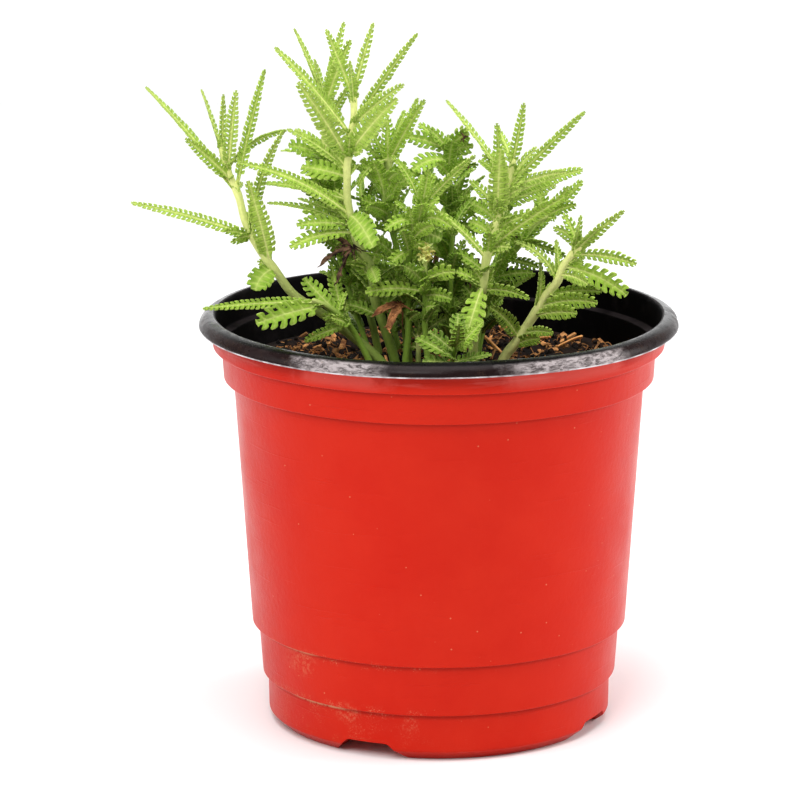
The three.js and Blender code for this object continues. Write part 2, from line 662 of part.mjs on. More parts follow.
// The directions along, across and out of a leaf's face at a share of its length.
function leafFrame(leaf, share) {
  const along = leaf.elbow.clone().sub(leaf.base).multiplyScalar(1 - share)
    .addScaledVector(leaf.tip.clone().sub(leaf.elbow), share)
    .normalize();
  const across = along.clone().cross(leaf.face).normalize();
  const out = across.clone().cross(along);
  return { along, across, out };
}

// Half the width of a leaf with its teeth: a rise from the petiole and a slow fall to the tip.
function halfWidth(leaf, share) {
  const { widest, tipShare } = LEAF_KINDS[leaf.kind];
  const rise = Math.min(1, Math.max(0, share / widest));
  const fall = Math.min(1, Math.max(0, (share - widest) / (1 - widest)));
  const growth = NARROWEST_SHARE + (1 - NARROWEST_SHARE) * rise * (2 - rise);
  return (leaf.width / 2) * growth * (1 - (1 - tipShare) * fall * fall);
}

// A leaf from its base on the stem to its tip, bent towards the stem's own direction, and turned
// about its length from facing the front.
function makeLeaf(base, tip, stemAlong, spec) {
  const along = tip.clone().sub(base).normalize();
  const towards = stemAlong.clone().addScaledVector(along, -stemAlong.dot(along)).normalize();
  const toView = SIGHT.clone().negate();
  const front = toView.addScaledVector(along, -toView.dot(along)).normalize();
  const facing = spec.upright ? towards.clone() : front;
  const side = along.clone().cross(facing);
  const turn = THREE.MathUtils.degToRad(spec.turn);
  return {
    base,
    tip,
    elbow: base.clone().add(tip).multiplyScalar(0.5).addScaledVector(towards, spec.bend),
    face: facing.multiplyScalar(Math.cos(turn)).addScaledVector(side, Math.sin(turn)),
    width: spec.width,
    kind: spec.kind,
  };
}

// A toothed blade: a flat middle strip, with one wedge-shaped tooth each side between its stations.
function leafSolid(leaf) {
  const length = leafPoint(leaf, 0).distanceTo(leafPoint(leaf, 1));
  const teeth = Math.max(FEWEST_TEETH, Math.round(length / TOOTH_PITCH));
  const { core } = LEAF_KINDS[leaf.kind];
  const points = [];
  const faces = [];
  const half = BLADE_THICKNESS / 2;
  const addStation = (share, width) => {
    const middle = leafPoint(leaf, share);
    const { across, out } = leafFrame(leaf, share);
    for (const side of [-1, 1]) {
      for (const level of [half, -half]) {
        points.push(middle.clone().addScaledVector(across, side * width).addScaledVector(out, level));
      }
    }
    return points.length - 4;
  };
  const addTooth = (share, side) => {
    const { across, out } = leafFrame(leaf, share);
    const reach = halfWidth(leaf, share);
    const fold = reach * (1 - core);
    const place = leafPoint(leaf, share)
      .addScaledVector(across, side * (reach * core + fold * Math.cos(TOOTH_FOLD)))
      .addScaledVector(out, fold * Math.sin(TOOTH_FOLD));
    points.push(place);
    return points.length - 1;
  };
  let low = addStation(0, PETIOLE_HALF_WIDTH);
  faces.push([low, low + 1, low + 3], [low, low + 3, low + 2]);
  for (let i = 0; i <= teeth; i += 1) {
    const pitch = (1 - PETIOLE_END) / (teeth + 0.5);
    const share = PETIOLE_END + pitch * i;
    const high = addStation(share, Math.max(PETIOLE_HALF_WIDTH, halfWidth(leaf, share) * core));
    faces.push([low, low + 2, high + 2], [low, high + 2, high]);
    faces.push([low + 1, high + 3, low + 3], [low + 1, high + 1, high + 3]);
    if (i === 0) {
      faces.push([low, high, high + 1], [low, high + 1, low + 1]);
      faces.push([low + 2, high + 3, high + 2], [low + 2, low + 3, high + 3]);
    } else {
      const left = addTooth(share - pitch * TOOTH_BACK, -1);
      faces.push([low, high, left], [low + 1, left, high + 1]);
      faces.push([low, left, low + 1], [high, high + 1, left]);
      const right = addTooth(share - pitch * TOOTH_BACK, 1);
      faces.push([low + 2, right, high + 2], [low + 3, high + 3, right]);
      faces.push([low + 2, low + 3, right], [high + 2, right, high + 3]);
    }
    low = high;
  }
  points.push(leafPoint(leaf, 1));
  const end = points.length - 1;
  faces.push([low, low + 2, end], [low + 1, end, low + 3], [low, end, low + 1], [low + 2, low + 3, end]);
  return solidOf(geometryFrom(points, faces));
}

// Points over a leaf's face from a share of its length on, so close that nothing passes between them.
function leafSamples(leaf, from) {
  const length = leafPoint(leaf, 0).distanceTo(leafPoint(leaf, 1));
  const steps = Math.ceil(length / SAMPLE_STEP);
  const samples = [];
  for (let i = 1; i <= steps; i += 1) {
    const share = from + ((1 - from) * i) / steps;
    const middle = leafPoint(leaf, share);
    const { across } = leafFrame(leaf, share);
    const reach = halfWidth(leaf, share) * SAMPLED_WIDTH;
    const rows = Math.max(1, Math.round(reach / SAMPLE_STEP));
    for (let row = -rows; row <= rows; row += 1) {
      samples.push(middle.clone().addScaledVector(across, (reach * row) / rows));
    }
  }
  return samples;
}

// True where a point keeps clear of the potting mix and the pot's rim.
function clearOfPot(point) {
  const radius = Math.hypot(point.x, point.y);
  if (point.z > RIM_TOP + RIM_GAP) return true;
  if (radius < SKIRT_RADIUS - POT_WALL - RIM_GAP) return point.z > SOIL_TOP + SOIL_GAP;
  return radius > RIM_OUTER_RADIUS + RIM_GAP;
}

function obstacleOf(owner, points, reach, own) {
  return { owner, points, reach, own, box: new THREE.Box3().setFromPoints(points) };
}

// True where points keep clear of the leaves of the same stem, or of all other stems and leaves.
function clearOfOthers(samples, owner, obstacles, own) {
  const box = new THREE.Box3().setFromPoints(samples);
  for (const obstacle of obstacles) {
    if (obstacle.own !== own || (obstacle.owner === owner) !== own) continue;
    const wide = obstacle.box.clone().expandByScalar(obstacle.reach);
    if (!wide.intersectsBox(box)) continue;
    for (const sample of samples) {
      if (!wide.containsPoint(sample)) continue;
      if (obstacle.points.some((point) => point.distanceTo(sample) < obstacle.reach)) return false;
    }
  }
  return true;
}

// The first way of growing a leaf that meets nothing: as it is, with its tip shifted, or shorter.
function fittedLeaf(base, tip, stemAlong, spec, shiftAlong, owner, obstacles) {
  for (const size of LENGTH_SHARES) {
    for (const shift of SHIFTS) {
      const end = base.clone().lerp(tip, size).addScaledVector(shiftAlong, shift * size);
      const leaf = makeLeaf(base, end, stemAlong, { ...spec, bend: spec.bend * size });
      const samples = leafSamples(leaf, LEAF_START);
      const outer = leafSamples(leaf, LEAF_OUTER_PART);
      if (!samples.every(clearOfPot)) continue;
      if (!clearOfOthers(samples, owner, obstacles, false)) continue;
      if (!clearOfOthers(outer, owner, obstacles, true)) continue;
      obstacles.push(obstacleOf(owner, samples, LEAF_GAP, false));
      obstacles.push(obstacleOf(owner, outer, OWN_LEAF_GAP, true));
      return leaf;
    }
  }
  return null;
}

function stemObstacle(shoot, curve) {
  const steps = Math.ceil(curve.getLength() / SAMPLE_STEP);
  const points = curve.getPoints(steps);
  return obstacleOf(shoot.name, points, shoot.radius + STEM_GAP, false);
}

function listedLeaves(shoot, curve, obstacles) {
  return shoot.leaves.map(([place, x, y, z, width, bend, turn, kind]) => {
    const spec = { width, bend, turn, kind };
    const base = curve.getPoint(place);
    const along = curve.getTangent(place);
    return fittedLeaf(base, new THREE.Vector3(x, y, z), along, spec, SIGHT, shoot.name, obstacles);
  });
}

// Pairs of leaves up a filling stem, each pair at right angles to the one below it.
function pairedLeaves(shoot, curve, obstacles) {
  const draw = drawFrom(shoot.seed);
  const leaves = [];
  const foot = shoot.stem[0][2];
  const height = shoot.stem[shoot.stem.length - 1][2] - foot;
  for (let pair = 0; pair < shoot.pairs; pair += 1) {
    const place = (shoot.from - foot + ((height + foot - shoot.from) * pair) / (shoot.pairs - 1)) / height;
    for (const half of [0, 1]) {
      const angle = Math.PI * (half + pair / 2) + (draw() - 0.5) * 0.9;
      const rise = 0.25 + 0.9 * (pair / shoot.pairs) + 0.3 * (draw() - 0.5);
      const length = shoot.length * (0.75 + 0.35 * draw());
      const base = curve.getPoint(Math.min(1, place));
      const out = new THREE.Vector3(Math.cos(angle), Math.sin(angle), 0);
      const tip = base.clone().addScaledVector(out, length * Math.cos(rise));
      tip.z += length * Math.sin(rise);
      const kind = draw() < LOBED_SHARE ? 'lobed' : 'comb';
      const turn = (draw() - 0.5) * MOST_TURN;
      const spec = { width: FILL_WIDTH, bend: length * FILL_BEND, turn, kind, upright: true };
      const side = new THREE.Vector3(-out.y, out.x, 0);
      const along = curve.getTangent(Math.min(1, place));
      leaves.push(fittedLeaf(base, tip, along, spec, side, shoot.name, obstacles));
    }
  }
  return leaves;
}

// A filling stem's own points: straight up out of the potting mix, then leaning to its tip.
function fillShoot({ name, foot, tip, from, pairs, length, seed }) {
  const [x, y] = foot;
  const lean = [
    x + (tip[0] - x) * FILL_LEAN,
    y + (tip[1] - y) * FILL_LEAN,
    SOIL_TOP + (tip[2] - SOIL_TOP) * FILL_LEAN,
  ];
  const stem = [[x, y, ROOT_DEPTH], [x, y, SOIL_TOP], lean, tip];
  return { name: `shoot_${name}`, radius: FILL_RADIUS, tone: 'old', stem, from, pairs, length, seed };
}

function shootSolid(shoot, curve, leaves) {
  const steps = Math.max(LEAST_STEM_STEPS, Math.round(curve.getLength() / STEM_STEP));
  const stem = barAlong(curve, steps, (share) => stemRadius(shoot, share));
  return wasm.Manifold.union([stem, ...leaves.map(leafSolid)]);
}

// Dried leaves curl out from one root, which stays just clear of the stem that carries them.
function driedSolid(spec, obstacles) {
  const root = new THREE.Vector3(...spec.root);
  const up = new THREE.Vector3(0, 0, 1);
  const leaves = spec.leaves.map(([x, y, z, width, bend, turn]) => {
    const tip = new THREE.Vector3(x, y, z);
    const leaf = makeLeaf(root, tip, up, { width, bend, turn, kind: 'comb' });
    obstacles.push(obstacleOf(spec.name, leafSamples(leaf, 0), LEAF_GAP, false));
    return leaf;
  });
  return wasm.Manifold.union(leaves.map(leafSolid));
}

const TONES = { young: '#a3c452', mid: '#7da443', old: '#55822f' };
const WOOD_COLOR = '#4a3420';
const DRIED_COLOR = '#6b4a30';
const SOIL_COLOR = '#3a2416';
const POT_COLOR = '#d42d1c';

function part(name, solid, color, roughness) {
  const material = new THREE.MeshStandardMaterial({ color, roughness, metalness: 0 });
  const mesh = new THREE.Mesh(geometryOf(solid), material);
  mesh.name = name;
  return mesh;
}

function plantAndSoil() {
  const shoots = [...SHOOTS, ...FILL_SHOOTS.map(fillShoot)];
  const standing = [...shoots, ...DEAD_STEMS];
  const curves = standing.map(stemCurve);
  const obstacles = standing.map((stem, i) => stemObstacle(stem, curves[i]));
  const dried = DRIED_LEAVES.map((spec) => part(spec.name, driedSolid(spec, obstacles), DRIED_COLOR, 0.9));
  const leafy = shoots.map((shoot, i) => {
    const grow = shoot.leaves ? listedLeaves : pairedLeaves;
    const leaves = grow(shoot, curves[i], obstacles).filter((leaf) => leaf !== null);
    return part(shoot.name, shootSolid(shoot, curves[i], leaves), TONES[shoot.tone], 0.7);
  });
  const dead = DEAD_STEMS.map((stem, i) => {
    const bar = shootSolid(stem, curves[shoots.length + i], []);
    return part(stem.name, bar, WOOD_COLOR, 0.9);
  });
  const feet = curves.map((curve) => curve.getPoint(0.1));
  const filled = wasm.Manifold.union([soilBody(), ...barkChips(feet)]);
  const soil = standing.reduce((left, stem, i) => left.subtract(stemHole(stem, curves[i])), filled);
  return [part('potting_mix', soil, SOIL_COLOR, 0.95), ...leafy, ...dead, ...dried];
}

const object = new THREE.Group();
object.add(part('pot', makePot(), POT_COLOR, 0.35));
object.add(...plantAndSoil());

export default object;
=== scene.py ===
"""A young fringed lavender in its nursery pot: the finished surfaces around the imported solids."""

import functools
import itertools
import math

import bmesh
import bpy
import numpy as np
from bpy.props import FloatProperty, FloatVectorProperty, IntProperty, PointerProperty
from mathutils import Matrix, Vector, noise


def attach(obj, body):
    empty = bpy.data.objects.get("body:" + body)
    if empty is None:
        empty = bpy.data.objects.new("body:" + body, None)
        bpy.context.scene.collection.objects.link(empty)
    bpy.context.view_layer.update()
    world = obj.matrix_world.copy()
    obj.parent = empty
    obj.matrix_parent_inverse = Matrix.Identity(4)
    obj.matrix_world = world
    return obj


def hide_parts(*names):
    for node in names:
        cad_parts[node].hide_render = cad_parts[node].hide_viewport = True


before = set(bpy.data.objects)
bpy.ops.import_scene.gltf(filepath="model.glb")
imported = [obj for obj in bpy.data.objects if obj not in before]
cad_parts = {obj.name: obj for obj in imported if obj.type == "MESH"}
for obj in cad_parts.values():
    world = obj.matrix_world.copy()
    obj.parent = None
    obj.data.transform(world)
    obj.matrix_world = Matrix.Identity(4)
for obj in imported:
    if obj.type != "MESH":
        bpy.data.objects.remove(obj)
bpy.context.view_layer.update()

bl_info = {
    "name": "Potted lavender",
    "version": (1, 0, 0),
    "blender": (4, 5, 0),
    "location": "View3D > Sidebar > Lavender",
    "description": "Builds a young fringed lavender in its nursery pot around the packed solids",
    "category": "Add Mesh",
}

MM = 0.001

# Pot, in millimetres, with the sizes that its solid has: pairs of radius and height. Each step of
# its wall is a ledge that hangs out over the wall below it.
POT_WALL = 1.0
BASE_RADIUS = 48.0
BASE_ROUND = (51.2, 3.0)
WALL = [
    (51.4, 14.1), (53.0, 14.5), (54.1, 29.6), (56.0, 30.0),
    (61.2, 104.1), (64.1, 104.5), (64.7, 113.6), (67.3, 114.0),
]
SKIRT_RADIUS = 67.3
RIM_TOP = 123.7
RIM_OUTER_RADIUS = 71.4
CORNER_ROUND = 0.4
RIM_STEPS = 9
SKIRT_TOP = RIM_TOP - 2.6

# How far the base's edge and its round move in with the wall's inner face, as shares of the wall.
BASE_IN_SHARE = 0.4
ROUND_IN_SHARE = 1.1
ROUND_UP_SHARE = 0.5

# The rolled rim: how far its roll overlaps the skirt, the roll's bottom, the top and least radius of the
# cut edge, and the least radius and height of the rim's face.
ROLL_OVERLAP = 0.3
ROLL_BOTTOM = 120.15
CUT_EDGE_TOP = 120.1
CUT_EDGE_RADIUS = 70.4
RIM_FACE_RADIUS = 70.3
RIM_FACE_HEIGHT = 122
NOTCH_COUNT = 4
FIRST_NOTCH_ANGLE = -114.5
NOTCH_HEIGHT = 4.8
NOTCH_BOTTOM_HALF = 11.5
NOTCH_TOP_HALF = 6.5
NOTCH_CORNER = 0.9
NOTCH_CUT_FROM = -10.0
CHANNEL_INNER_RADIUS = 34.0
CHANNEL_LENGTH = 30.0
DRAIN_HOLE_RADIUS = 3.5
DRAIN_HOLE_PLACE = 42.0
DRAIN_HOLE_SIDES = 28
DRAIN_HOLE_REACH = (-2.0, 11.0)
NOTCH_TURNS = [
    math.radians(FIRST_NOTCH_ANGLE + index * 360 / NOTCH_COUNT) for index in range(NOTCH_COUNT)
]

# The pot's materials, in the order of its slots.
RED, BLACK, EDGE, RIM = range(4)

# Wear and painted light of the pot, in metres: the ledges that hold dust with their reach, the heights
# of the creases that get painted shade, the creases with caked dust (height, start and end across),
# the dusty spots of the front (middle across, height and radius) and the stretches with a painted
# satin reflection (middle across and half the reach).
DUSTY_LEDGES = ((0.0143, 0.0028), (0.0292, 0.0022))
CREASE_HEIGHTS = (0.0141, 0.0296, 0.1041, 0.1136)
CAKED_CREASES = ((0.0296, -0.0465, -0.0378), (0.0141, -0.0415, -0.0295))
DUSTY_SPOTS = ((-0.0083, 0.0112, 0.0032), (-0.0405, 0.0262, 0.0062), (-0.0265, 0.0128, 0.0052))
REFLECTION_STRETCHES = ((-0.028, 0.0165), (0.037, 0.0205))

# The mouth's round inner edge and the clear space above it: out from the inner wall and up from the top.
MOUTH = ((0.1, -0.7), (0.35, -0.25), (0.8, -0.02), (1.2, 0.1), (1.2, 5))

# How the rolled rim and the wall sway out of true, in metres, and from what heights, in millimetres.
RIM_SWAY = 0.00012
WALL_SWAY = 0.00005
WALL_SWAY_FROM = 8
SWAY_FROM = 30
SWAY_RISE = 90
NEAR_RIM = 116
NEAR_RIM_RISE = 4

# The nick in the rim: its place and half its reach about the pot, and what counts as rim.
NICK_PLACE = math.radians(1.5)
NICK_HALF = math.radians(1.6)
NICK_LOWEST = 118.5
NICK_INNERMOST = 67.5

# Potting mix, in millimetres.
SOIL_TOP = 107.0
SOIL_WAVE = 0.7
SOIL_ON_LEDGE = 106.1
SOIL_GAP_TO_WALL = 1.3
SOIL_TOP_RADIUS = 62.4
SOIL_ON_LEDGE_FROM = 58
SOIL_SINK = 0.8
SHRUNK_FROM = 55
SHRUNK_SLOPE = 0.3
SOIL_SIDES = 200
SOIL_RINGS = 64
BITS_RADIUS = 60.5
FIBRES_RADIUS = 59.5

# Clods and grit of its top: their pitch, the layer of noise that they take, and their height.
CLODS = (0.24, 3.0, 1.3)
GRIT = (1.9, 7.0, 0.35)

# Straws on top: both ends with their rise above the mix, radius and shade.
STRAWS = [
    ((13.8, 24.0, 3.6), (18.8, 19.0, 0.3), 0.5, 1.0),
    ((36.0, 27.0, 0.6), (41.5, 31.0, 1.8), 0.4, 0.8),
    ((30.0, 34.0, 0.5), (34.0, 31.0, 2.2), 0.32, 0.9),
    ((-38.0, 24.0, 0.5), (-33.0, 28.0, 1.4), 0.4, 0.6),
    ((40.3, 30.0, 1.6), (43.6, 32.0, 3.2), 0.42, 1.0),
    ((16.0, 49.0, 0.5), (21.0, 52.0, 1.2), 0.35, 0.7),
]

# Perlite grains that the photographed mix shows, and how many more lie about.
GRAIN_PLACES = [(-14.5, -33.0), (-20.0, -14.0), (40.0, -38.0), (31.0, -30.0)]
MORE_GRAINS = 14

# Foliage, in millimetres, with the sizes and gaps that place each leaf of the solids.
STEM_TIP_SHARE = 0.6
STEM_STEP = 1.6
STEM_SIDES = 12
STEM_SQUARENESS = 0.07
STEM_SLIMNESS = 0.95
NODE_SWELLING = 0.1
NODE_REACH = 1.3
LEAF_GAP = 2.2
OWN_LEAF_GAP = 1.3
STEM_GAP = 1.3
LEAF_START = 0.15
LEAF_OUTER_PART = 0.35
SAMPLE_STEP = 2.0
LEAF_TO_SOIL = 3.0
LEAF_TO_RIM = 1.6
SIGHT_TILT = math.radians(13.4)
AIM_HEIGHT = 96.65
SIGHT = np.array([0.0, math.cos(SIGHT_TILT), -math.sin(SIGHT_TILT)])
SHIFTS = [0, -3, 3, -6, 6, -9, 9, -12, 12]
LENGTH_SHARES = [1, 0.85, 0.7, 0.55]
ROOT_DEPTH = 95.0
FILL_RADIUS = 1.0
FILL_WIDTH = 5.0
FILL_LEAN = 0.35
PETIOLE_END = 0.12
FILL_BEND_SHARE = 0.14
FILL_LOBED_SHARE = 0.55
WIDEST_GAP = 4.0

# Each kind of leaf: the place of its widest lobes and the share of width left at the tip.
LEAF_KINDS = {"comb": (0.3, 0.42), "lobed": (0.62, 0.6), "round": (0.55, 0.62)}

# The lobes of each kind: the share of the half width in the undivided middle and what each
# millimetre of width adds to it, how far they lean to the tip, how much they shorten there, their
# pitch as a share of the width, how far they fold up, how much more they may fold on one side, and
# the half widths of a lobe from its root to its end as shares of the pitch.
LOBES = {
    "comb": (0.26, 0.033, 0.5, 0.38, 0.27, 0.4, 0.45, (0.26, 0.32, 0.42, 0.36, 0.15)),
    "lobed": (0.42, 0.0, 0.5, 0.36, 0.4, 0.26, 0.2, (0.29, 0.32, 0.4, 0.33, 0.14)),
    "round": (0.68, 0.0, 0.3, 0.3, 0.29, 0.2, 0.15, (0.36, 0.4, 0.45, 0.36, 0.16)),
}
LOBE_ROWS = (0.3, 0.65, 0.88, 1.0)
LEAST_LOBE_PITCH = 1.6
RIB_HALF_WIDTH = 0.45
RIB_FADE = (0.95, 0.3)
LEAF_END = 0.985

# A blade's section: half its thickness and that of its stalk, the share left beside the middle, how
# deep the midrib lies, the stalk's half widths, the least half width of the undivided middle, and how
# far from the blade's rim the middle counts. Then each row of a lobe: its curl and half thickness.
BLADE_HALF = 0.2
STALK_HALF = 0.42
BESIDE_SHARE = 0.75
MIDRIB_DEPTH = 0.12
STALK_HALF_WIDTHS = (0.55, 0.5)
LEAST_CORE = 0.3
ROOT_EDGE = 0.36
LOBE_CURLS = (0.0, 0.0, -0.05, -0.14)
LOBE_SIDE_CURL = 0.07
LOBE_HALVES = (0.17, 0.16, 0.13, 0.08)

# How old each kind of leaf and each tone of stem looks, and how far single leaves stray from it.
KIND_AGES = {"comb": 0.0, "lobed": 0.08, "round": 0.46}
TONE_AGES = {"young": 0.1, "mid": 0.42, "old": 0.72}
AGE_SWAY = 0.42

# A leaf looks older below this place along its stem and younger above it, by so much a stem's length.
TONE_PLACE = 0.8
MAIN_AGE_FALL = 0.6
FILL_AGE_FALL = 0.3

# How old a stem looks at its foot, where it isn't half a step older than its leaves.
STEM_FOOT_AGES = {"shoot_right_front": 0.2, "shoot_right": 0.42}

# Small leaves in rows up a stem: the height of the last row, the longest leaf and the leaves in a row.
LOW_LEAVES = {
    "shoot_centre_back": (172, 18, 5),
    "shoot_middle": (166, 17, 5),
    "shoot_centre_right": (156, 15, 5),
    "shoot_back": (168, 17, 5),
    "shoot_right_back": (150, 14, 4),
    "shoot_bud": (132, 10, 4),
    "shoot_left": (118, 9, 2),
    "shoot_left_low": (126, 9, 3),
    "shoot_centre": (150, 14, 4),
    "shoot_right": (150, 11, 3),
    "shoot_right_front": (116, 9, 3),
    "shoot_front_small": (0, 0, 0),
}
LOW_LEAVES_OF_OTHERS = (127, 11, 3)

LOW_LEAVES_FROM = 111.0
LOW_LEAVES_PITCH = 5.0

# No small leaf starts lower than this, and the gaps that it keeps are this share of a main leaf's.
SMALL_LEAVES_FROM = 117.0
SMALL_LEAF_EASE = 0.34

# The tufts in the axils: where the stem's top begins, and the longest leaf and the number of leaves
# there and below it. Then how far a tuft spreads, and a small leaf's width, bend and greatest turn.
AXIL_TOP_FROM = 0.8
AXIL_TOP_TUFT = (5.0, 1)
AXIL_TUFT = (9.0, 3)
AXIL_SPREAD = 3.2
SMALL_LEAF_WIDTH = (1.6, 0.26)
SMALL_LEAF_BEND_SHARE = 0.12
SMALL_LEAF_TURN = 60
SMALL_LEAF_SHIFTS = (0, 2, -2)
SMALL_LEAF_SIZES = (1, 0.75)

# Stems whose front stays bare of small leaves up to a height, and how squarely a leaf may face front.
BARE_FRONTS = {"shoot_right_front": 140, "shoot_right": 136, "shoot_centre": 166, "shoot_left": 145}
BARE_FRONT_TURN = -0.3

# Leaves that close gaps between the main ones: the stem, the place along it, the three coordinates
# of the tip, width, bend, turn, kind and age.
GAP_LEAVES = [
    ("shoot_back", 0.97, (10.5, 18, 170.2), 5.5, 2, 20, "lobed", 0.55),
    ("shoot_back", 0.86, (8.7, 14, 166.9), 5, 2, 0, "lobed", 0.6),
    ("shoot_right", 0.8, (11.7, 6, 168.2), 4.5, 2, 20, "comb", 0.4),
    ("shoot_right", 0.7, (35.0, 8, 160.3), 5.5, 2, 10, "comb", 0.35),
    ("shoot_right_back", 0.97, (28.4, 14, 161.3), 5.5, 1, 20, "comb", 0.45),
    ("shoot_right_back", 0.98, (36.2, 16, 154.1), 5, 2, 0, "comb", 0.45),
    ("shoot_right_front", 0.97, (36.8, 4, 152.7), 4.5, 1, 20, "comb", 0.3),
    ("shoot_middle", 0.95, (-15.1, 10, 180.7), 5, 1, 10, "comb", 0.35),
    ("shoot_middle", 0.9, (-21.7, 12, 171.6), 5, 1, 0, "comb", 0.4),
    ("shoot_right", 0.55, (8.7, 4, 150.2), 5, 2, 0, "lobed", 0.45),
    ("shoot_fill_middle", 0.92, (10.5, 8, 137.0), 5, 2, 0, "lobed", 0.6),
    ("shoot_right", 0.62, (9.3, 8, 154.8), 5, 2, 10, "lobed", 0.45),
    ("shoot_right", 0.97, (17.1, 6, 178.6), 4, 0.5, 50, "comb", 0.1),
    ("shoot_middle", 0.82, (-23.5, 11, 167.0), 5, 1, 0, "comb", 0.4),
    ("shoot_right_front", 0.99, (33.8, 6, 147.9), 4.5, 2, 10, "comb", 0.3),
    ("shoot_right_back", 0.9, (38.6, 15, 158.7), 5, 2, 10, "comb", 0.45),
    ("shoot_right", 0.86, (12.6, -1, 171.0), 4.5, 2, 15, "comb", 0.3),
    ("shoot_back", 1.0, (8.7, 20, 175.2), 5, 1, 20, "lobed", 0.5),
]

# Openings through the foliage that the small leaves leave free, as seen from the front: across,
# up from the height that the camera aims at, and radius.
CLEARINGS = [
    (13.5, 79.6, 3.9), (0.4, 81.7, 2.0), (-10.0, 72.8, 3.0), (33.8, 43.8, 3.0), (24.2, 42.0, 2.6),
    (11.7, 66.8, 2.3), (12.6, 62.3, 1.8), (-11.8, 44.7, 2.4), (25.7, 57.2, 2.0), (7.8, 45.0, 2.0),
    (13.2, 55.2, 1.8), (9.6, 50.7, 1.6), (13.2, 47.4, 1.5), (-17.5, 71.3, 1.6), (-27.6, 49.5, 1.5),
    (3.4, 64.4, 1.5), (11.7, 42.3, 1.5), (-25.3, 58.1, 1.3), (5.5, 61.4, 1.3), (-1.7, 44.4, 1.0),
]

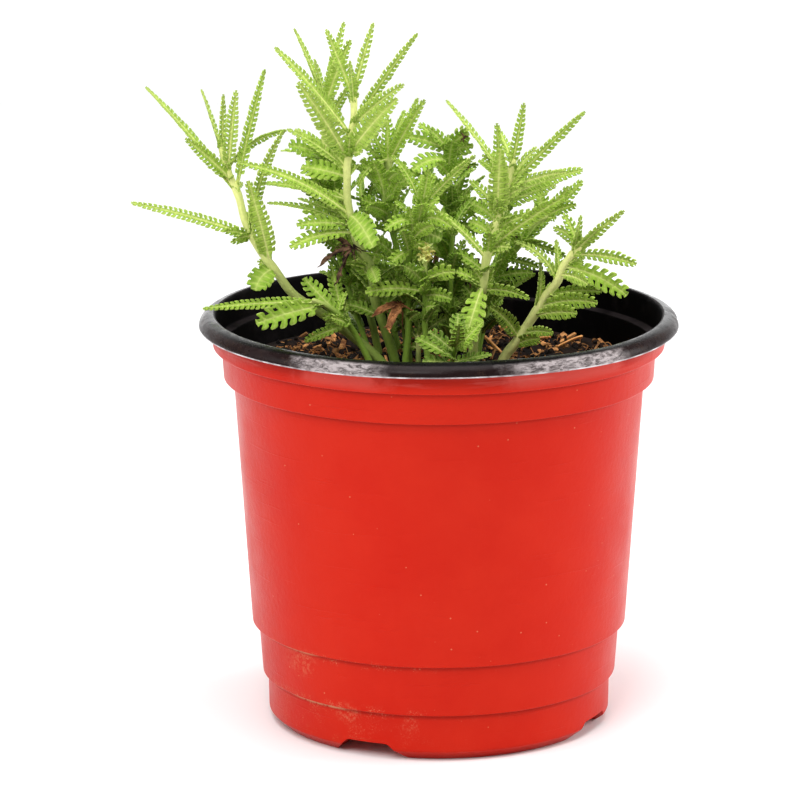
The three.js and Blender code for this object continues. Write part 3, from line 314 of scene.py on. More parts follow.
# Leafy stems. A stem is a list of points from its foot in the potting mix up to its tip. A leaf is
# its place along the stem, the three coordinates of its tip, its width, bend, turn and kind.
SHOOTS = [
    {
        "name": "shoot_left", "radius": 1.6, "tone": "young",
        "stem": [
            (-14, -1, 95), (-15, 0, 104), (-18, 1, 109), (-27, 1, 117), (-36, 0, 124), (-43, -1, 129),
            (-48, -2, 136), (-53, -2, 143), (-57, -2, 151), (-59, -2, 159), (-62, -2, 166),
            (-64, -1, 174),
        ],
        "leaves": [
            (0.82, -86, -4, 192, 4.5, 1.5, 50, "comb"), (0.88, -74, -12, 178, 4.5, 1, 15, "comb"),
            (0.94, -70, 4, 190, 3.5, 0.5, 55, "comb"), (0.98, -63, -5, 190, 3, 0.5, 40, "comb"),
            (0.91, -59, -10, 192, 4.5, 0.5, 5, "comb"), (0.84, -51, 4, 196, 4.5, 1, 50, "comb"),
            (0.92, -45, 8, 177, 4, 5, 55, "comb"), (0.68, -91, -2, 157, 4, 1.5, 25, "comb"),
            (0.68, -45, -8, 180, 4.5, 5, 50, "comb"), (0.58, -56, -9, 165, 6.5, -1, 5, "comb"),
            (0.56, -54, -10, 132, 8, 2.5, 15, "round"),
        ],
    },
    {
        "name": "shoot_left_low", "radius": 1.1, "tone": "mid",
        "stem": [
            (-18, -6, 95), (-18, -6, 103), (-23, -6, 115), (-28, -7, 123), (-33, -8, 127), (-37, -9, 129),
        ],
        "leaves": [
            (0.93, -70, -7, 126, 4, 1.5, 35, "comb"), (0.83, -54, -14, 123, 8, 1, 10, "lobed"),
            (0.66, -40, 0, 134, 6, 2, 20, "lobed"), (0.54, -40, -2, 115, 3.5, 1, 15, "lobed"),
            (0.6, -32, 6, 137, 4.5, 1, 20, "lobed"),
        ],
    },
    {
        "name": "shoot_centre", "radius": 1.5, "tone": "young",
        "stem": [
            (-12, 4, 95), (-13, 4, 107), (-16, 2, 118), (-19, 2, 127), (-20, 2, 136), (-24, 1, 144),
            (-26, 0, 152), (-27, 0, 158), (-27, 0, 164), (-27, 0, 168), (-26, 0, 176), (-25, 0, 182),
            (-25, 1, 189),
        ],
        "leaves": [
            (0.84, -48, -6, 204, 5, 1.5, 40, "comb"), (0.77, -41, -14, 195, 7, 1, 10, "comb"),
            (0.98, -33, -4, 209, 4.5, 0.5, 20, "comb"), (1, -19, 3, 210, 4, 0.5, 40, "comb"),
            (0.88, -6, -5, 208, 4.5, 1, 50, "comb"), (0.88, -10, -12, 194, 4.5, 1.5, 20, "comb"),
            (0.78, -12, -8, 189, 7, 1.5, 10, "comb"), (0.96, -26, -6, 200, 3.5, 0.5, 60, "comb"),
            (0.72, -45, 4, 178, 4, 2, 50, "comb"), (0.51, -59, -9, 170, 4.5, 5, 30, "comb"),
            (0.57, -53, 2, 162, 4.5, 2.5, 45, "comb"), (0.49, -42, 10, 156, 4, 1, 60, "comb"),
            (0.47, -51, -2, 157, 4, 3.5, 60, "comb"), (0.45, -44, -6, 144, 5, 3.5, 15, "lobed"),
            (0.47, -42, 2, 149, 5, 2, 15, "lobed"), (0.51, -19, -16, 146, 8, 4, 5, "round"),
            (0.34, -31, -6, 140, 3.5, 2, 40, "comb"), (0.34, -18, -12, 135, 4.5, 1.5, 10, "round"),
            (0.67, -41, 12, 165, 7, 1, 20, "lobed"), (0.77, -15, 8, 180, 4.5, 1, 30, "comb"),
        ],
    },
    {
        "name": "shoot_centre_back", "radius": 1.2, "tone": "young",
        "stem": [
            (-17, 15, 95), (-18, 15, 107), (-21, 14, 121), (-26, 14, 136), (-29, 16, 147), (-32, 18, 160),
            (-34, 19, 170), (-34, 19, 178), (-34, 19, 185),
        ],
        "leaves": [
            (0.96, -43, 17, 206, 3.5, 1, 50, "comb"), (0.99, -37, 16, 197, 3, 0.5, 60, "comb"),
            (0.99, -32, 22, 196, 3, 0.5, 50, "comb"), (0.96, -28, 24, 207, 4, 1, 20, "comb"),
            (0.94, -26, 14, 203, 5, 1, 15, "comb"), (0.82, -26, 12, 190, 4, 1, 30, "comb"),
            (0.73, -43, 20, 175, 4, 1, 40, "comb"),
        ],
    },
    {
        "name": "shoot_middle", "radius": 1.2, "tone": "mid",
        "stem": [
            (-9, 9, 95), (-9, 9, 107), (-10, 8, 116), (-11, 8, 125), (-12, 8, 138), (-14, 8, 148),
            (-16, 8, 156), (-15, 8, 163), (-15, 8, 168),
        ],
        "leaves": [
            (0.96, -4, 3, 187, 4.5, 1, 20, "comb"), (0.9, -6, 12, 186, 4, 1, 35, "comb"),
            (0.99, -10, 10, 183, 4, 0.5, 20, "comb"), (1, -24, 2, 161, 3, 4, 50, "comb"),
            (0.93, -22, 14, 179, 4, 1, 30, "comb"), (0.85, -26, 12, 165, 4, 2, 30, "comb"),
            (0.74, -6, 14, 164, 5, 1.5, 20, "lobed"), (0.67, -23, 3, 157, 4.5, 1.5, 20, "lobed"),
            (0.59, -4, 12, 148, 4.5, 1.5, 20, "lobed"), (0.49, -19, 2, 145, 4.5, 1.5, 20, "lobed"),
        ],
    },
    {
        "name": "shoot_centre_right", "radius": 1.1, "tone": "mid",
        "stem": [
            (-10, -3, 95), (-10, -3, 107), (-9, -2, 118), (-9, -2, 128), (-9, -3, 139), (-8, -4, 146),
            (-6, -4, 152), (-5, -4, 156),
        ],
        "leaves": [
            (0.96, -14, -6, 172, 4, 3, 45, "comb"), (1, -3, -8, 168, 4, 0.5, 15, "comb"),
            (0.99, 11, -6, 172, 4, 1, 40, "comb"), (0.84, -16, -10, 150, 4.5, 4, 25, "lobed"),
            (0.86, 4, -10, 151, 5, 3.5, 15, "lobed"), (0.75, 1, -8, 147, 5.5, 2, 10, "round"),
            (0.65, -14, -8, 140, 4.5, 1, 20, "lobed"), (1, -1, -2, 166, 3.5, 0.5, 10, "comb"),
        ],
    },
    {
        "name": "shoot_right", "radius": 1.5, "tone": "young",
        "stem": [
            (10, -3, 95), (10, -3, 107), (11, -4, 124), (13, -4, 132), (14, -4, 140), (16, -4, 147),
            (18, -4, 154), (20, -4, 161), (21, -4, 166), (22, -4, 170),
        ],
        "leaves": [
            (0.82, 2, -2, 188, 4, 1, 50, "comb"), (0.67, 17, -8, 182, 4.5, 0.5, 10, "comb"),
            (0.63, 18, -12, 175, 7, -0.5, 5, "comb"), (0.92, 25, -8, 188, 4, 0.5, 30, "comb"),
            (0.79, 43, -6, 185, 5, 1, 45, "comb"), (0.85, 29, 2, 173, 3.5, 0.5, 20, "comb"),
            (0.78, 38, 4, 165, 4, 2, 25, "comb"), (0.73, 43, 8, 165, 4.5, 2.5, 25, "lobed"),
            (0.5, 37, -8, 160, 5, 1, 25, "lobed"), (0.58, 28, -2, 154, 4.5, 1.5, 15, "lobed"),
            (0.34, 7, -22, 116, 8, 4, 10, "lobed"), (0.45, -3, -10, 158, 4, 2.5, 40, "comb"),
            (0.33, 5, -6, 137, 4.5, 1.5, 25, "lobed"), (0.32, 27, -8, 129, 4, 2.5, 25, "comb"),
            (0.67, 9, 2, 163, 4.5, 1, 30, "comb"),
        ],
    },
    {
        "name": "shoot_right_back", "radius": 1.2, "tone": "mid",
        "stem": [
            (11, 7, 95), (11, 8, 107), (12, 9, 120), (12, 10, 125), (17, 11, 133), (23, 12, 140),
            (28, 12, 147), (32, 12, 150),
        ],
        "leaves": [
            (0.99, 41, 10, 154, 4, 1.5, 15, "lobed"), (0.96, 43, 13, 161, 4, 1, 25, "lobed"),
            (0.75, 38, 10, 138, 3.5, 2, 30, "lobed"), (0.73, 18, 14, 147, 4, 1, 20, "lobed"),
            (0.83, 31, 16, 157, 4, 1, 20, "comb"), (0.65, 30, 14, 134, 4, 1, 20, "lobed"),
        ],
    },
    {
        "name": "shoot_right_front", "radius": 1.6, "tone": "young",
        "stem": [
            (17, 5, 95), (18, 6, 104), (20, 6, 109), (23, 5, 113), (26, 4, 118), (29, 3, 123),
            (32, 3, 128), (35, 2, 132), (37, 2, 137), (40, 2, 141), (42, 2, 143),
        ],
        "leaves": [
            (0.88, 42, 0, 153, 3.5, 0.5, 55, "comb"), (0.9, 48, -3, 150, 4, 0.5, 40, "comb"),
            (0.89, 55, -3, 155, 4.5, 1, 35, "comb"), (0.88, 59, 4, 137, 4.5, 2.5, 15, "lobed"),
            (0.8, 56, -3, 129, 7, 3, 10, "lobed"), (0.75, 44, -10, 134, 4.5, 1.5, 10, "lobed"),
            (0.53, 47, -8, 128, 5.5, 2.5, 20, "lobed"), (0.6, 49, 8, 128, 4.5, 2, 35, "lobed"),
            (0.47, 41, -4, 124, 5, 1.5, 15, "lobed"), (0.7, 22, 0, 145, 4.5, 5, 50, "comb"),
            (0.5, 30, 2, 139, 3.5, 1.5, 45, "comb"), (0.33, 15, -4, 126, 5.5, 2, 20, "comb"),
            (0.36, 34, -4, 118, 3.5, 1.5, 20, "lobed"), (0.27, 30, -2, 116, 5, 1.5, 15, "lobed"),
            (0.72, 35, 8, 144, 3.5, 0.5, 45, "comb"),
        ],
    },
    {
        "name": "shoot_front_small", "radius": 0.9, "tone": "young",
        "stem": [
            (-5, 2, 95), (-6, 1, 107), (-6, 0, 112), (-6, 0, 115), (-6, 0, 117),
        ],
        "leaves": [
            (0.72, -14, -4, 124, 3, 1, 35, "comb"), (0.75, -1, -3, 124, 3, 1, 35, "comb"),
            (0.89, -6, 0, 122, 3, 0.5, 30, "comb"), (0.54, 2, -5, 114, 3.5, 2, 20, "lobed"),
            (0.54, -13, -6, 113, 3.5, 2, 20, "lobed"), (0.81, 5, 2, 122, 4.5, 2.5, 20, "lobed"),
        ],
    },
    {
        "name": "shoot_bud", "radius": 1, "tone": "mid",
        "stem": [
            (-3, -8, 95), (-3, -8, 107), (-4, -6, 119), (-4, -6, 129), (-4, -6, 134), (-4, -6, 140),
        ],
        "leaves": [
            (0.76, -10, -12, 140, 5, 1, 5, "round"), (0.82, 5, -11, 138, 5.5, 1.5, 10, "lobed"),
            (0.66, -22, -12, 132, 5, 2.5, 15, "lobed"), (0.62, 4, -12, 130, 4.5, 1.5, 15, "lobed"),
            (0.92, -6, -8, 142, 3, 0.5, 30, "comb"),
        ],
    },
    {
        "name": "shoot_back", "radius": 1.3, "tone": "old",
        "stem": [
            (2, 13, 95), (2, 13, 107), (3, 14, 118), (3, 14, 127), (3, 15, 136), (4, 16, 144),
            (4, 17, 153), (3, 18, 161), (3, 18, 169),
        ],
        "leaves": [
            (0.99, -10, 14, 174, 5.5, 2, 15, "lobed"), (0.98, -6, 20, 177, 4, 1, 20, "lobed"),
            (0.99, -3, 16, 176, 4.5, 1, 20, "comb"), (1, 9, 14, 175, 5.5, 1.5, 10, "lobed"),
            (0.95, -8, 10, 164, 6, 3.5, 15, "lobed"), (0.73, 9, 22, 165, 5, 0.5, 10, "comb"),
            (0.72, 14, 24, 160, 3.5, 1.5, 50, "comb"), (0.71, 14, 8, 154, 5.5, 2.5, 10, "lobed"),
            (0.72, 4, 10, 160, 4, 0.5, 10, "comb"), (0.9, 12, 20, 164, 4, 1, 30, "comb"),
            (0.81, -3, 12, 159, 5, 1.5, 20, "lobed"), (0.66, 12, 12, 145, 5.5, 2, 20, "lobed"),
            (0.6, -2, 12, 145, 4.5, 1, 20, "lobed"),
        ],
    },
]

# Dead woody stems of the last season, which stand bare among the green ones.
DEAD_STEMS = [
    {
        "name": "dead_stem_left", "radius": 1.2,
        "stem": [(-3, 28, 95), (-3, 28, 107), (-2, 29, 124), (0, 30, 139)],
    },
    {
        "name": "dead_stem_right", "radius": 1,
        "stem": [(6, 26, 95), (6, 26, 107), (9, 27, 122), (12, 28, 134)],
    },
]

# Dried leaves that hang on a stem: their root, and each tip, width, bend and turn.
DRIED_LEAVES = [
    {
        "name": "dried_leaves_left", "root": (-25.6, 0.2, 143),
        "leaves": [(-36, 0, 147, 3, 2, 20), (-35, -2, 138, 4, 2, 40), (-30, -3, 133, 4, 1, 60)],
    },
    {
        "name": "dried_leaf_middle", "root": (-11, -2.4, 126),
        "leaves": [(-15, -9, 120, 6, 2, 10), (-19, -7, 124, 5, 2, 30)],
    },
]

# The height that the withered bud reaches above its stem.
BUD_HEIGHT = 5.5

# Dark shrivelled bits: the point that each sits on, its size and its number of prongs.
SHRIVELLED_BITS = [
    (7.6, 14.6, 173.4, 2.6, 5), (8.9, 17.2, 164.8, 2.0, 4), (12.9, 9.0, 154.2, 2.8, 5),
    (8.5, 12.9, 153.3, 2.4, 5), (3.6, 15.4, 140.6, 2.6, 5), (6.2, 15.9, 131.3, 3.0, 6),
    (-2.0, 9.1, 145.8, 2.0, 4), (22.8, 8.0, 145.0, 1.8, 4),
]

# Short leafy stems that fill the middle and back of the plant: foot, tip, first height with leaves,
# pairs of leaves, longest leaf and seed of the draws.
FILL_SHOOTS = {
    "shoot_fill_back_left": ((-12, 19), (-22, 32, 146), 114, 6, 19, 3),
    "shoot_fill_back": ((-3, 21), (-4, 36, 150), 114, 6, 20, 5),
    "shoot_fill_back_right": ((12, 18), (21, 31, 148), 114, 6, 19, 8),
    "shoot_fill_middle": ((3, 2), (4, 3, 146), 114, 5, 15, 21),
    "shoot_fill_left": ((-20, 5), (-30, 12, 138), 114, 5, 15, 34),
    "shoot_fill_front": ((3, -12), (5, -27, 119), 112, 4, 12, 55),
}


def draw_from(seed):
    """Draws numbers from 0 to 1, always the same ones for a seed."""
    state = seed

    def draw():
        nonlocal state
        state = (state * 1664525 + 1013904223) % 4294967296
        return state / 4294967296

    return draw


def unit(vector):
    return vector / np.linalg.norm(vector, axis=-1, keepdims=True)


def heading(angle, rise=0.0):
    """A level step of length 1 at an angle, with a rise added."""
    return np.array([math.cos(angle), math.sin(angle), rise])


class Stem:
    """A smooth curve through a stem's points, from its foot at 0 to its tip at 1."""

    def __init__(self, points):
        self.ends = np.array(points, float)
        before = 2 * self.ends[0] - self.ends[1]
        after = 2 * self.ends[-1] - self.ends[-2]
        self.knots = np.vstack([before, self.ends, after])

    def at(self, share):
        share = np.clip(np.atleast_1d(np.asarray(share, float)), 0, 1)
        spans = len(self.ends) - 1
        index = np.minimum(np.floor(share * spans).astype(int), spans - 1)
        step = (share * spans - index)[:, None]
        before, start, end, after = (self.knots[index + k] for k in range(4))
        leave = (end - before) / 2
        arrive = (after - start) / 2
        square = 3 * (end - start) - 2 * leave - arrive
        cube = 2 * (start - end) + leave + arrive
        return start + leave * step + square * step**2 + cube * step**3

    def direction(self, share):
        share = np.atleast_1d(np.asarray(share, float))
        low = np.clip(share - 1e-4, 0, 1)
        high = np.clip(share + 1e-4, 0, 1)
        return unit(self.at(high) - self.at(low))

    def length(self):
        points = self.at(np.linspace(0, 1, 201))
        return float(np.linalg.norm(np.diff(points, axis=0), axis=1).sum())


class Leaf:
    """A leaf's middle line, facing and width, as its solid has them."""

    def __init__(self, base, tip, stem_along, width, bend, turn, kind, upright=False):
        along = unit(tip - base)
        towards = unit(stem_along - along * (stem_along @ along))
        front = unit(-SIGHT + along * (SIGHT @ along))
        facing = towards if upright else front
        angle = math.radians(turn)
        self.base = base
        self.tip = tip
        self.elbow = (base + tip) / 2 + towards * bend
        self.face = facing * math.cos(angle) + np.cross(along, facing) * math.sin(angle)
        self.width = width
        self.kind = kind
        self.size = float(np.linalg.norm(tip - base))

    def at(self, share):
        share = np.asarray(share, float)[:, None]
        rest = 1 - share
        return self.base * rest**2 + self.elbow * 2 * rest * share + self.tip * share**2

    def axes(self, share):
        share = np.asarray(share, float)[:, None]
        along = unit((self.elbow - self.base) * (1 - share) + (self.tip - self.elbow) * share)
        across = unit(np.cross(along, self.face))
        return along, across, np.cross(across, along)

    def half_width(self, share):
        widest, tip_share = LEAF_KINDS[self.kind]
        rise = np.clip(share / widest, 0, 1)
        fall = np.clip((share - widest) / (1 - widest), 0, 1)
        taper = 1 - (1 - tip_share) * fall * fall
        return (self.width / 2) * (0.3 + 0.7 * rise * (2 - rise)) * taper

    def samples(self, start):
        """Points over the face from a share of the length on, so close that nothing passes."""
        steps = math.ceil(self.size / SAMPLE_STEP)
        share = start + (1 - start) * np.arange(1, steps + 1) / steps
        middle = self.at(share)
        _, across, _ = self.axes(share)
        points = []
        for centre, side, reach in zip(middle, across, self.half_width(share) * 0.9):
            rows = max(1, math.floor(reach / SAMPLE_STEP + 0.5))
            points += [centre + side * (reach * row / rows) for row in range(-rows, rows + 1)]
        return np.array(points)


class Thicket:
    """What already grows: points that a new leaf keeps away from, with their owners and gaps."""

    def __init__(self):
        self.parts = []
        self.points = np.zeros((0, 3))
        self.gaps = np.zeros(0)
        self.owners = np.zeros(0, int)

    def add(self, points, gap, owner):
        self.parts.append((points, gap, owner))

    def gather(self):
        if self.parts:
            self.points = np.vstack([self.points, *[part[0] for part in self.parts]])
            gaps = [np.full(len(part[0]), part[1]) for part in self.parts]
            self.gaps = np.concatenate([self.gaps, *gaps])
            owners = [np.full(len(part[0]), part[2]) for part in self.parts]
            self.owners = np.concatenate([self.owners, *owners])
            self.parts = []

    def clear(self, samples, owner, own, ease=1.0):
        """True where samples keep the gaps to the owner's points, or to everyone else's."""
        self.gather()
        near = np.all(self.points > samples.min(0) - WIDEST_GAP, axis=1)
        near &= np.all(self.points < samples.max(0) + WIDEST_GAP, axis=1)
        near &= (self.owners == owner) if own else (self.owners != owner)
        if not near.any():
            return True
        apart = np.linalg.norm(self.points[near][:, None] - samples[None], axis=2).min(1)
        return not np.any(apart < self.gaps[near] * ease)


def clear_of_pot(points, ease=1.0):
    """True where all points keep clear of the potting mix and the pot's rim."""
    radius = np.hypot(points[:, 0], points[:, 1])
    height = points[:, 2]
    above = height > RIM_TOP + LEAF_TO_RIM * ease
    within = (radius < SKIRT_RADIUS - POT_WALL - LEAF_TO_RIM) & (height > SOIL_TOP + LEAF_TO_SOIL * ease)
    beyond = radius > RIM_OUTER_RADIUS + LEAF_TO_RIM
    return bool(np.all(above | within | beyond))


class Plant:
    """Grows every stem and leaf in the order of the solids, and keeps them for meshing."""

    def __init__(self):
        self.others = Thicket()
        self.own = Thicket()
        self.shoots = SHOOTS + [fill_shoot(*item) for item in FILL_SHOOTS.items()]
        standing = self.shoots + DEAD_STEMS
        self.stems = {stem["name"]: Stem(stem["stem"]) for stem in standing}
        self.owner = {stem["name"]: index for index, stem in enumerate(standing)}
        for stem in standing:
            curve = self.stems[stem["name"]]
            steps = math.ceil(curve.length() / SAMPLE_STEP)
            points = curve.at(np.linspace(0, 1, steps + 1))
            self.others.add(points, stem["radius"] + STEM_GAP, self.owner[stem["name"]])
        self.dried = {}
        for index, spec in enumerate(DRIED_LEAVES):
            root = np.array(spec["root"], float)
            up = np.array([0.0, 0.0, 1.0])
            grown = []
            for x, y, z, width, bend, turn in spec["leaves"]:
                leaf = Leaf(root, np.array([x, y, z], float), up, width, bend, turn, "comb")
                self.others.add(leaf.samples(0), LEAF_GAP, len(standing) + index)
                grown.append(leaf)
            self.dried[spec["name"]] = grown
        self.leaves = {shoot["name"]: [] for shoot in self.shoots}
        for shoot in self.shoots:
            self.grow_main_leaves(shoot)
        for shoot in self.shoots:
            self.grow_gap_leaves(shoot)
        for shoot in self.shoots:
            self.grow_small_leaves(shoot)

    def grow(self, shoot, place, tip, spec, aside, age, ease=1.0, shifts=SHIFTS, sizes=LENGTH_SHARES):
        """Keeps the first way of growing a leaf to its tip, shifted or shorter, that meets nothing."""
        curve = self.stems[shoot["name"]]
        owner = self.owner[shoot["name"]]
        base = curve.at(place)[0]
        along = curve.direction(place)[0]
        width, bend, turn, kind, upright = spec
        for size, shift in itertools.product(sizes, shifts):
            end = base + (tip - base) * size + aside * (shift * size)
            leaf = Leaf(base, end, along, width, bend * size, turn, kind, upright)
            samples = leaf.samples(LEAF_START)
            outer = leaf.samples(LEAF_OUTER_PART)
            free = clear_of_pot(samples, ease) and self.others.clear(samples, owner, False, ease)
            if free and self.own.clear(outer, owner, True, ease):
                self.others.add(samples, LEAF_GAP, owner)
                self.own.add(outer, OWN_LEAF_GAP, owner)
                self.leaves[shoot["name"]].append((leaf, place, age))
                return

    def shuts_clearing(self, leaf):
        """Whether a leaf would cover an opening through the foliage."""
        points = leaf.at(np.linspace(0, 1, 9))
        up = (points[:, 2] - AIM_HEIGHT) * math.cos(SIGHT_TILT) + points[:, 1] * math.sin(SIGHT_TILT)
        for across, rise, radius in CLEARINGS:
            off = np.hypot(points[:, 0] - across, up - rise)
            if off.min() < radius:
                return True
        return False

    def grow_main_leaves(self, shoot):
        tone = TONE_AGES[shoot["tone"]]
        if "leaves" in shoot:
            for place, x, y, z, width, bend, turn, kind in shoot["leaves"]:
                spec = (width, bend, turn, kind, False)
                age = tone + MAIN_AGE_FALL * (TONE_PLACE - place)
                self.grow(shoot, place, np.array([x, y, z], float), spec, SIGHT, age)
            return
        draw = draw_from(shoot["seed"])
        foot = shoot["stem"][0][2]
        height = shoot["stem"][-1][2] - foot
        start = shoot["from"]
        for pair in range(shoot["pairs"]):
            rise_to = (height + foot - start) * pair / (shoot["pairs"] - 1)
            place = min(1, (start - foot + rise_to) / height)
            for half in (0, 1):
                angle = math.pi * (half + pair / 2) + (draw() - 0.5) * 0.9
                rise = 0.25 + 0.9 * (pair / shoot["pairs"]) + 0.3 * (draw() - 0.5)
                length = shoot["length"] * (0.75 + 0.35 * draw())
                tip = self.stems[shoot["name"]].at(place)[0] + heading(angle) * length * math.cos(rise)
                tip[2] += length * math.sin(rise)
                kind = "lobed" if draw() < FILL_LOBED_SHARE else "comb"
                spec = (FILL_WIDTH, length * FILL_BEND_SHARE, (draw() - 0.5) * 50, kind, True)
                side = np.array([-math.sin(angle), math.cos(angle), 0.0])
                self.grow(shoot, place, tip, spec, side, tone + FILL_AGE_FALL * (TONE_PLACE - place))

    def grow_gap_leaves(self, shoot):
        for name, place, tip, width, bend, turn, kind, age in GAP_LEAVES:
            if name == shoot["name"]:
                spec = (width, bend, turn, kind, False)
                self.grow(shoot, place, np.array(tip, float), spec, SIGHT, age, SMALL_LEAF_EASE)

    def grow_small_leaves(self, shoot):
        """Tufts in the axils of the main leaves, and short leaves low on the stem."""
        curve = self.stems[shoot["name"]]
        draw = draw_from(1000 + self.owner[shoot["name"]])
        tone = TONE_AGES[shoot["tone"]]
        for leaf, place, _ in list(self.leaves[shoot["name"]]):
            middle = unit(leaf.tip - leaf.base)
            longest, count = AXIL_TOP_TUFT if place > AXIL_TOP_FROM else AXIL_TUFT
            for _ in range(count):
                spin = (draw() - 0.5) * AXIL_SPREAD
                self.small_leaf(shoot, curve, place, middle, spin, longest, tone, draw)
        top, longest, count = LOW_LEAVES.get(shoot["name"], LOW_LEAVES_OF_OTHERS)
        top = min(top, shoot["stem"][-1][2])
        for row in range(int((top - LOW_LEAVES_FROM) / LOW_LEAVES_PITCH)):
            place = self.place_at_height(curve, LOW_LEAVES_FROM + row * LOW_LEAVES_PITCH)
            turn = draw() * math.pi
            for which in range(count):
                out = unit(heading(turn + which * 2 * math.pi / count, 0.3))
                age = 0.8 - 0.4 * row * LOW_LEAVES_PITCH / (top - LOW_LEAVES_FROM)
                self.small_leaf(shoot, curve, place, out, 0.0, longest, age, draw)

    def place_at_height(self, curve, height):
        shares = np.linspace(0, 1, 200)
        heights = curve.at(shares)[:, 2]
        return float(shares[np.argmax(heights >= height)])

    def small_leaf(self, shoot, curve, place, middle, spin, longest, tone, draw):
        base = curve.at(place)[0]
        along = curve.direction(place)[0]
        out = middle - along * (middle @ along)
        if np.linalg.norm(out) < 0.1:
            out = np.cross(along, np.array([0.0, 1.0, 0.0]))
        out = unit(out)
        around = out * math.cos(spin) + np.cross(along, out) * math.sin(spin)
        rise = 0.25 + 0.95 * draw()
        length = longest * (0.55 + 0.45 * draw())
        tip = base + (around * math.cos(rise) + along * math.sin(rise)) * length
        kind = "comb" if draw() < 0.4 or tone < 0.3 else "lobed"
        width = SMALL_LEAF_WIDTH[0] + SMALL_LEAF_WIDTH[1] * length
        turn = (draw() - 0.5) * SMALL_LEAF_TURN
        spec = (width, length * SMALL_LEAF_BEND_SHARE, turn, kind, draw() < 0.5)
        age = tone - 0.1 + 0.2 * draw()
        before_stem = around @ SIGHT < BARE_FRONT_TURN and base[2] < BARE_FRONTS.get(shoot["name"], 0)
        if base[2] < SMALL_LEAVES_FROM or before_stem:
            return
        if self.shuts_clearing(Leaf(base, tip, along, *spec)):
            return
        aside = np.cross(along, around)
        way = (SMALL_LEAF_EASE, SMALL_LEAF_SHIFTS, SMALL_LEAF_SIZES)
        self.grow(shoot, place, tip, spec, aside, age, *way)


def fill_shoot(name, spec):
    """A filling stem: straight up out of the potting mix, then leaning to its tip."""
    (x, y), tip, leaves_from, pairs, length, seed = spec
    foot = (x, y, SOIL_TOP)
    lean = tuple(low + (high - low) * FILL_LEAN for low, high in zip(foot, tip))
    return {
        "name": name, "radius": FILL_RADIUS, "tone": "old",
        "stem": [(x, y, ROOT_DEPTH), foot, lean, tip],
        "from": leaves_from, "pairs": pairs, "length": length, "seed": seed,
    }


class Surface:
    """Gathers points in millimetres, faces, face materials and values per point of one piece."""

    VALUES = ("edge", "vein", "along", "age", "stalk")

    def __init__(self):
        self.points = []
        self.faces = []
        self.slots = []
        self.values = []
        self.count = 0

    def add(self, points, faces, values=None, slot=0):
        points = np.asarray(points, float)
        if values is None:
            values = np.zeros((len(points), len(self.VALUES)))
        self.points.append(points)
        self.values.append(np.asarray(values, float))
        self.faces += [tuple(index + self.count for index in face) for face in faces]
        self.slots += [slot] * len(faces)
        self.count += len(points)

    def piece(self, name, materials, record_slot, replaced=(), crease=40.0):
        """Makes the object, in metres, riding on the root; the record slot is not used."""
        mesh = bpy.data.meshes.new(name)
        points = np.vstack(self.points) * MM
        mesh.from_pydata(points.tolist(), [], self.faces)
        mesh.polygons.foreach_set("material_index", np.array(self.slots, np.int32))
        values = np.vstack(self.values)
        for index, key in enumerate(self.VALUES):
            attribute = mesh.attributes.new(key, "FLOAT", "POINT")
            attribute.data.foreach_set("value", values[:, index].astype(np.float32))
        return finished(mesh, name, materials, replaced, crease)


def finished(mesh, name, materials, replaced=(), crease=40.0):
    """Links a mesh as a piece of the object, smooth but for its sharp edges."""
    if not mesh.materials:
        for material in materials:
            mesh.materials.append(material)
    mesh.validate()
    mesh.shade_smooth()
    mesh.set_sharp_from_angle(angle=math.radians(crease))
    piece = bpy.data.objects.new(name, mesh)
    bpy.context.scene.collection.objects.link(piece)
    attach(piece, "root")
    if replaced:
        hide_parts(*replaced)
    return piece


def closed_sheet(points, outs, halves, quads, values):
    """A closed sheet about a middle surface: two faces and a wall along its free edge."""
    count = len(points)
    thick = outs * halves[:, None]
    seen = {}
    for quad in quads:
        for a, b in zip(quad, quad[1:] + quad[:1]):
            key = (min(a, b), max(a, b))
            seen[key] = None if key in seen else (a, b)
    faces = list(quads)
    faces += [tuple(index + count for index in reversed(quad)) for quad in quads]
    for edge in seen.values():
        if edge is not None:
            a, b = edge
            faces.append((b, a, a + count, b + count))
    both = np.vstack([points + thick, points - thick])
    return both, faces, np.vstack([values, values])


@functools.cache
def leaf_quads(teeth):
    """The quads of a leaf's middle strip and lobes, which are the same for a number of lobes."""
    stations = 2 + 3 * teeth + 3
    quads = []
    for row in range(stations - 1):
        low, high = row * 3, row * 3 + 3
        quads += [(low, low + 1, high + 1, high), (low + 1, low + 2, high + 2, high + 1)]
    start = stations * 3
    for tooth in range(teeth):
        for side in (0, 2):
            root = [(2 + tooth * 3 + step) * 3 + side for step in range(3)]
            below = root
            for _ in LOBE_ROWS:
                row = [start, start + 1, start + 2]
                for step in range(2):
                    quad = (below[step], below[step + 1], row[step + 1], row[step])
                    quads.append(quad if side == 0 else quad[::-1])
                below = row
                start += 3
    return quads


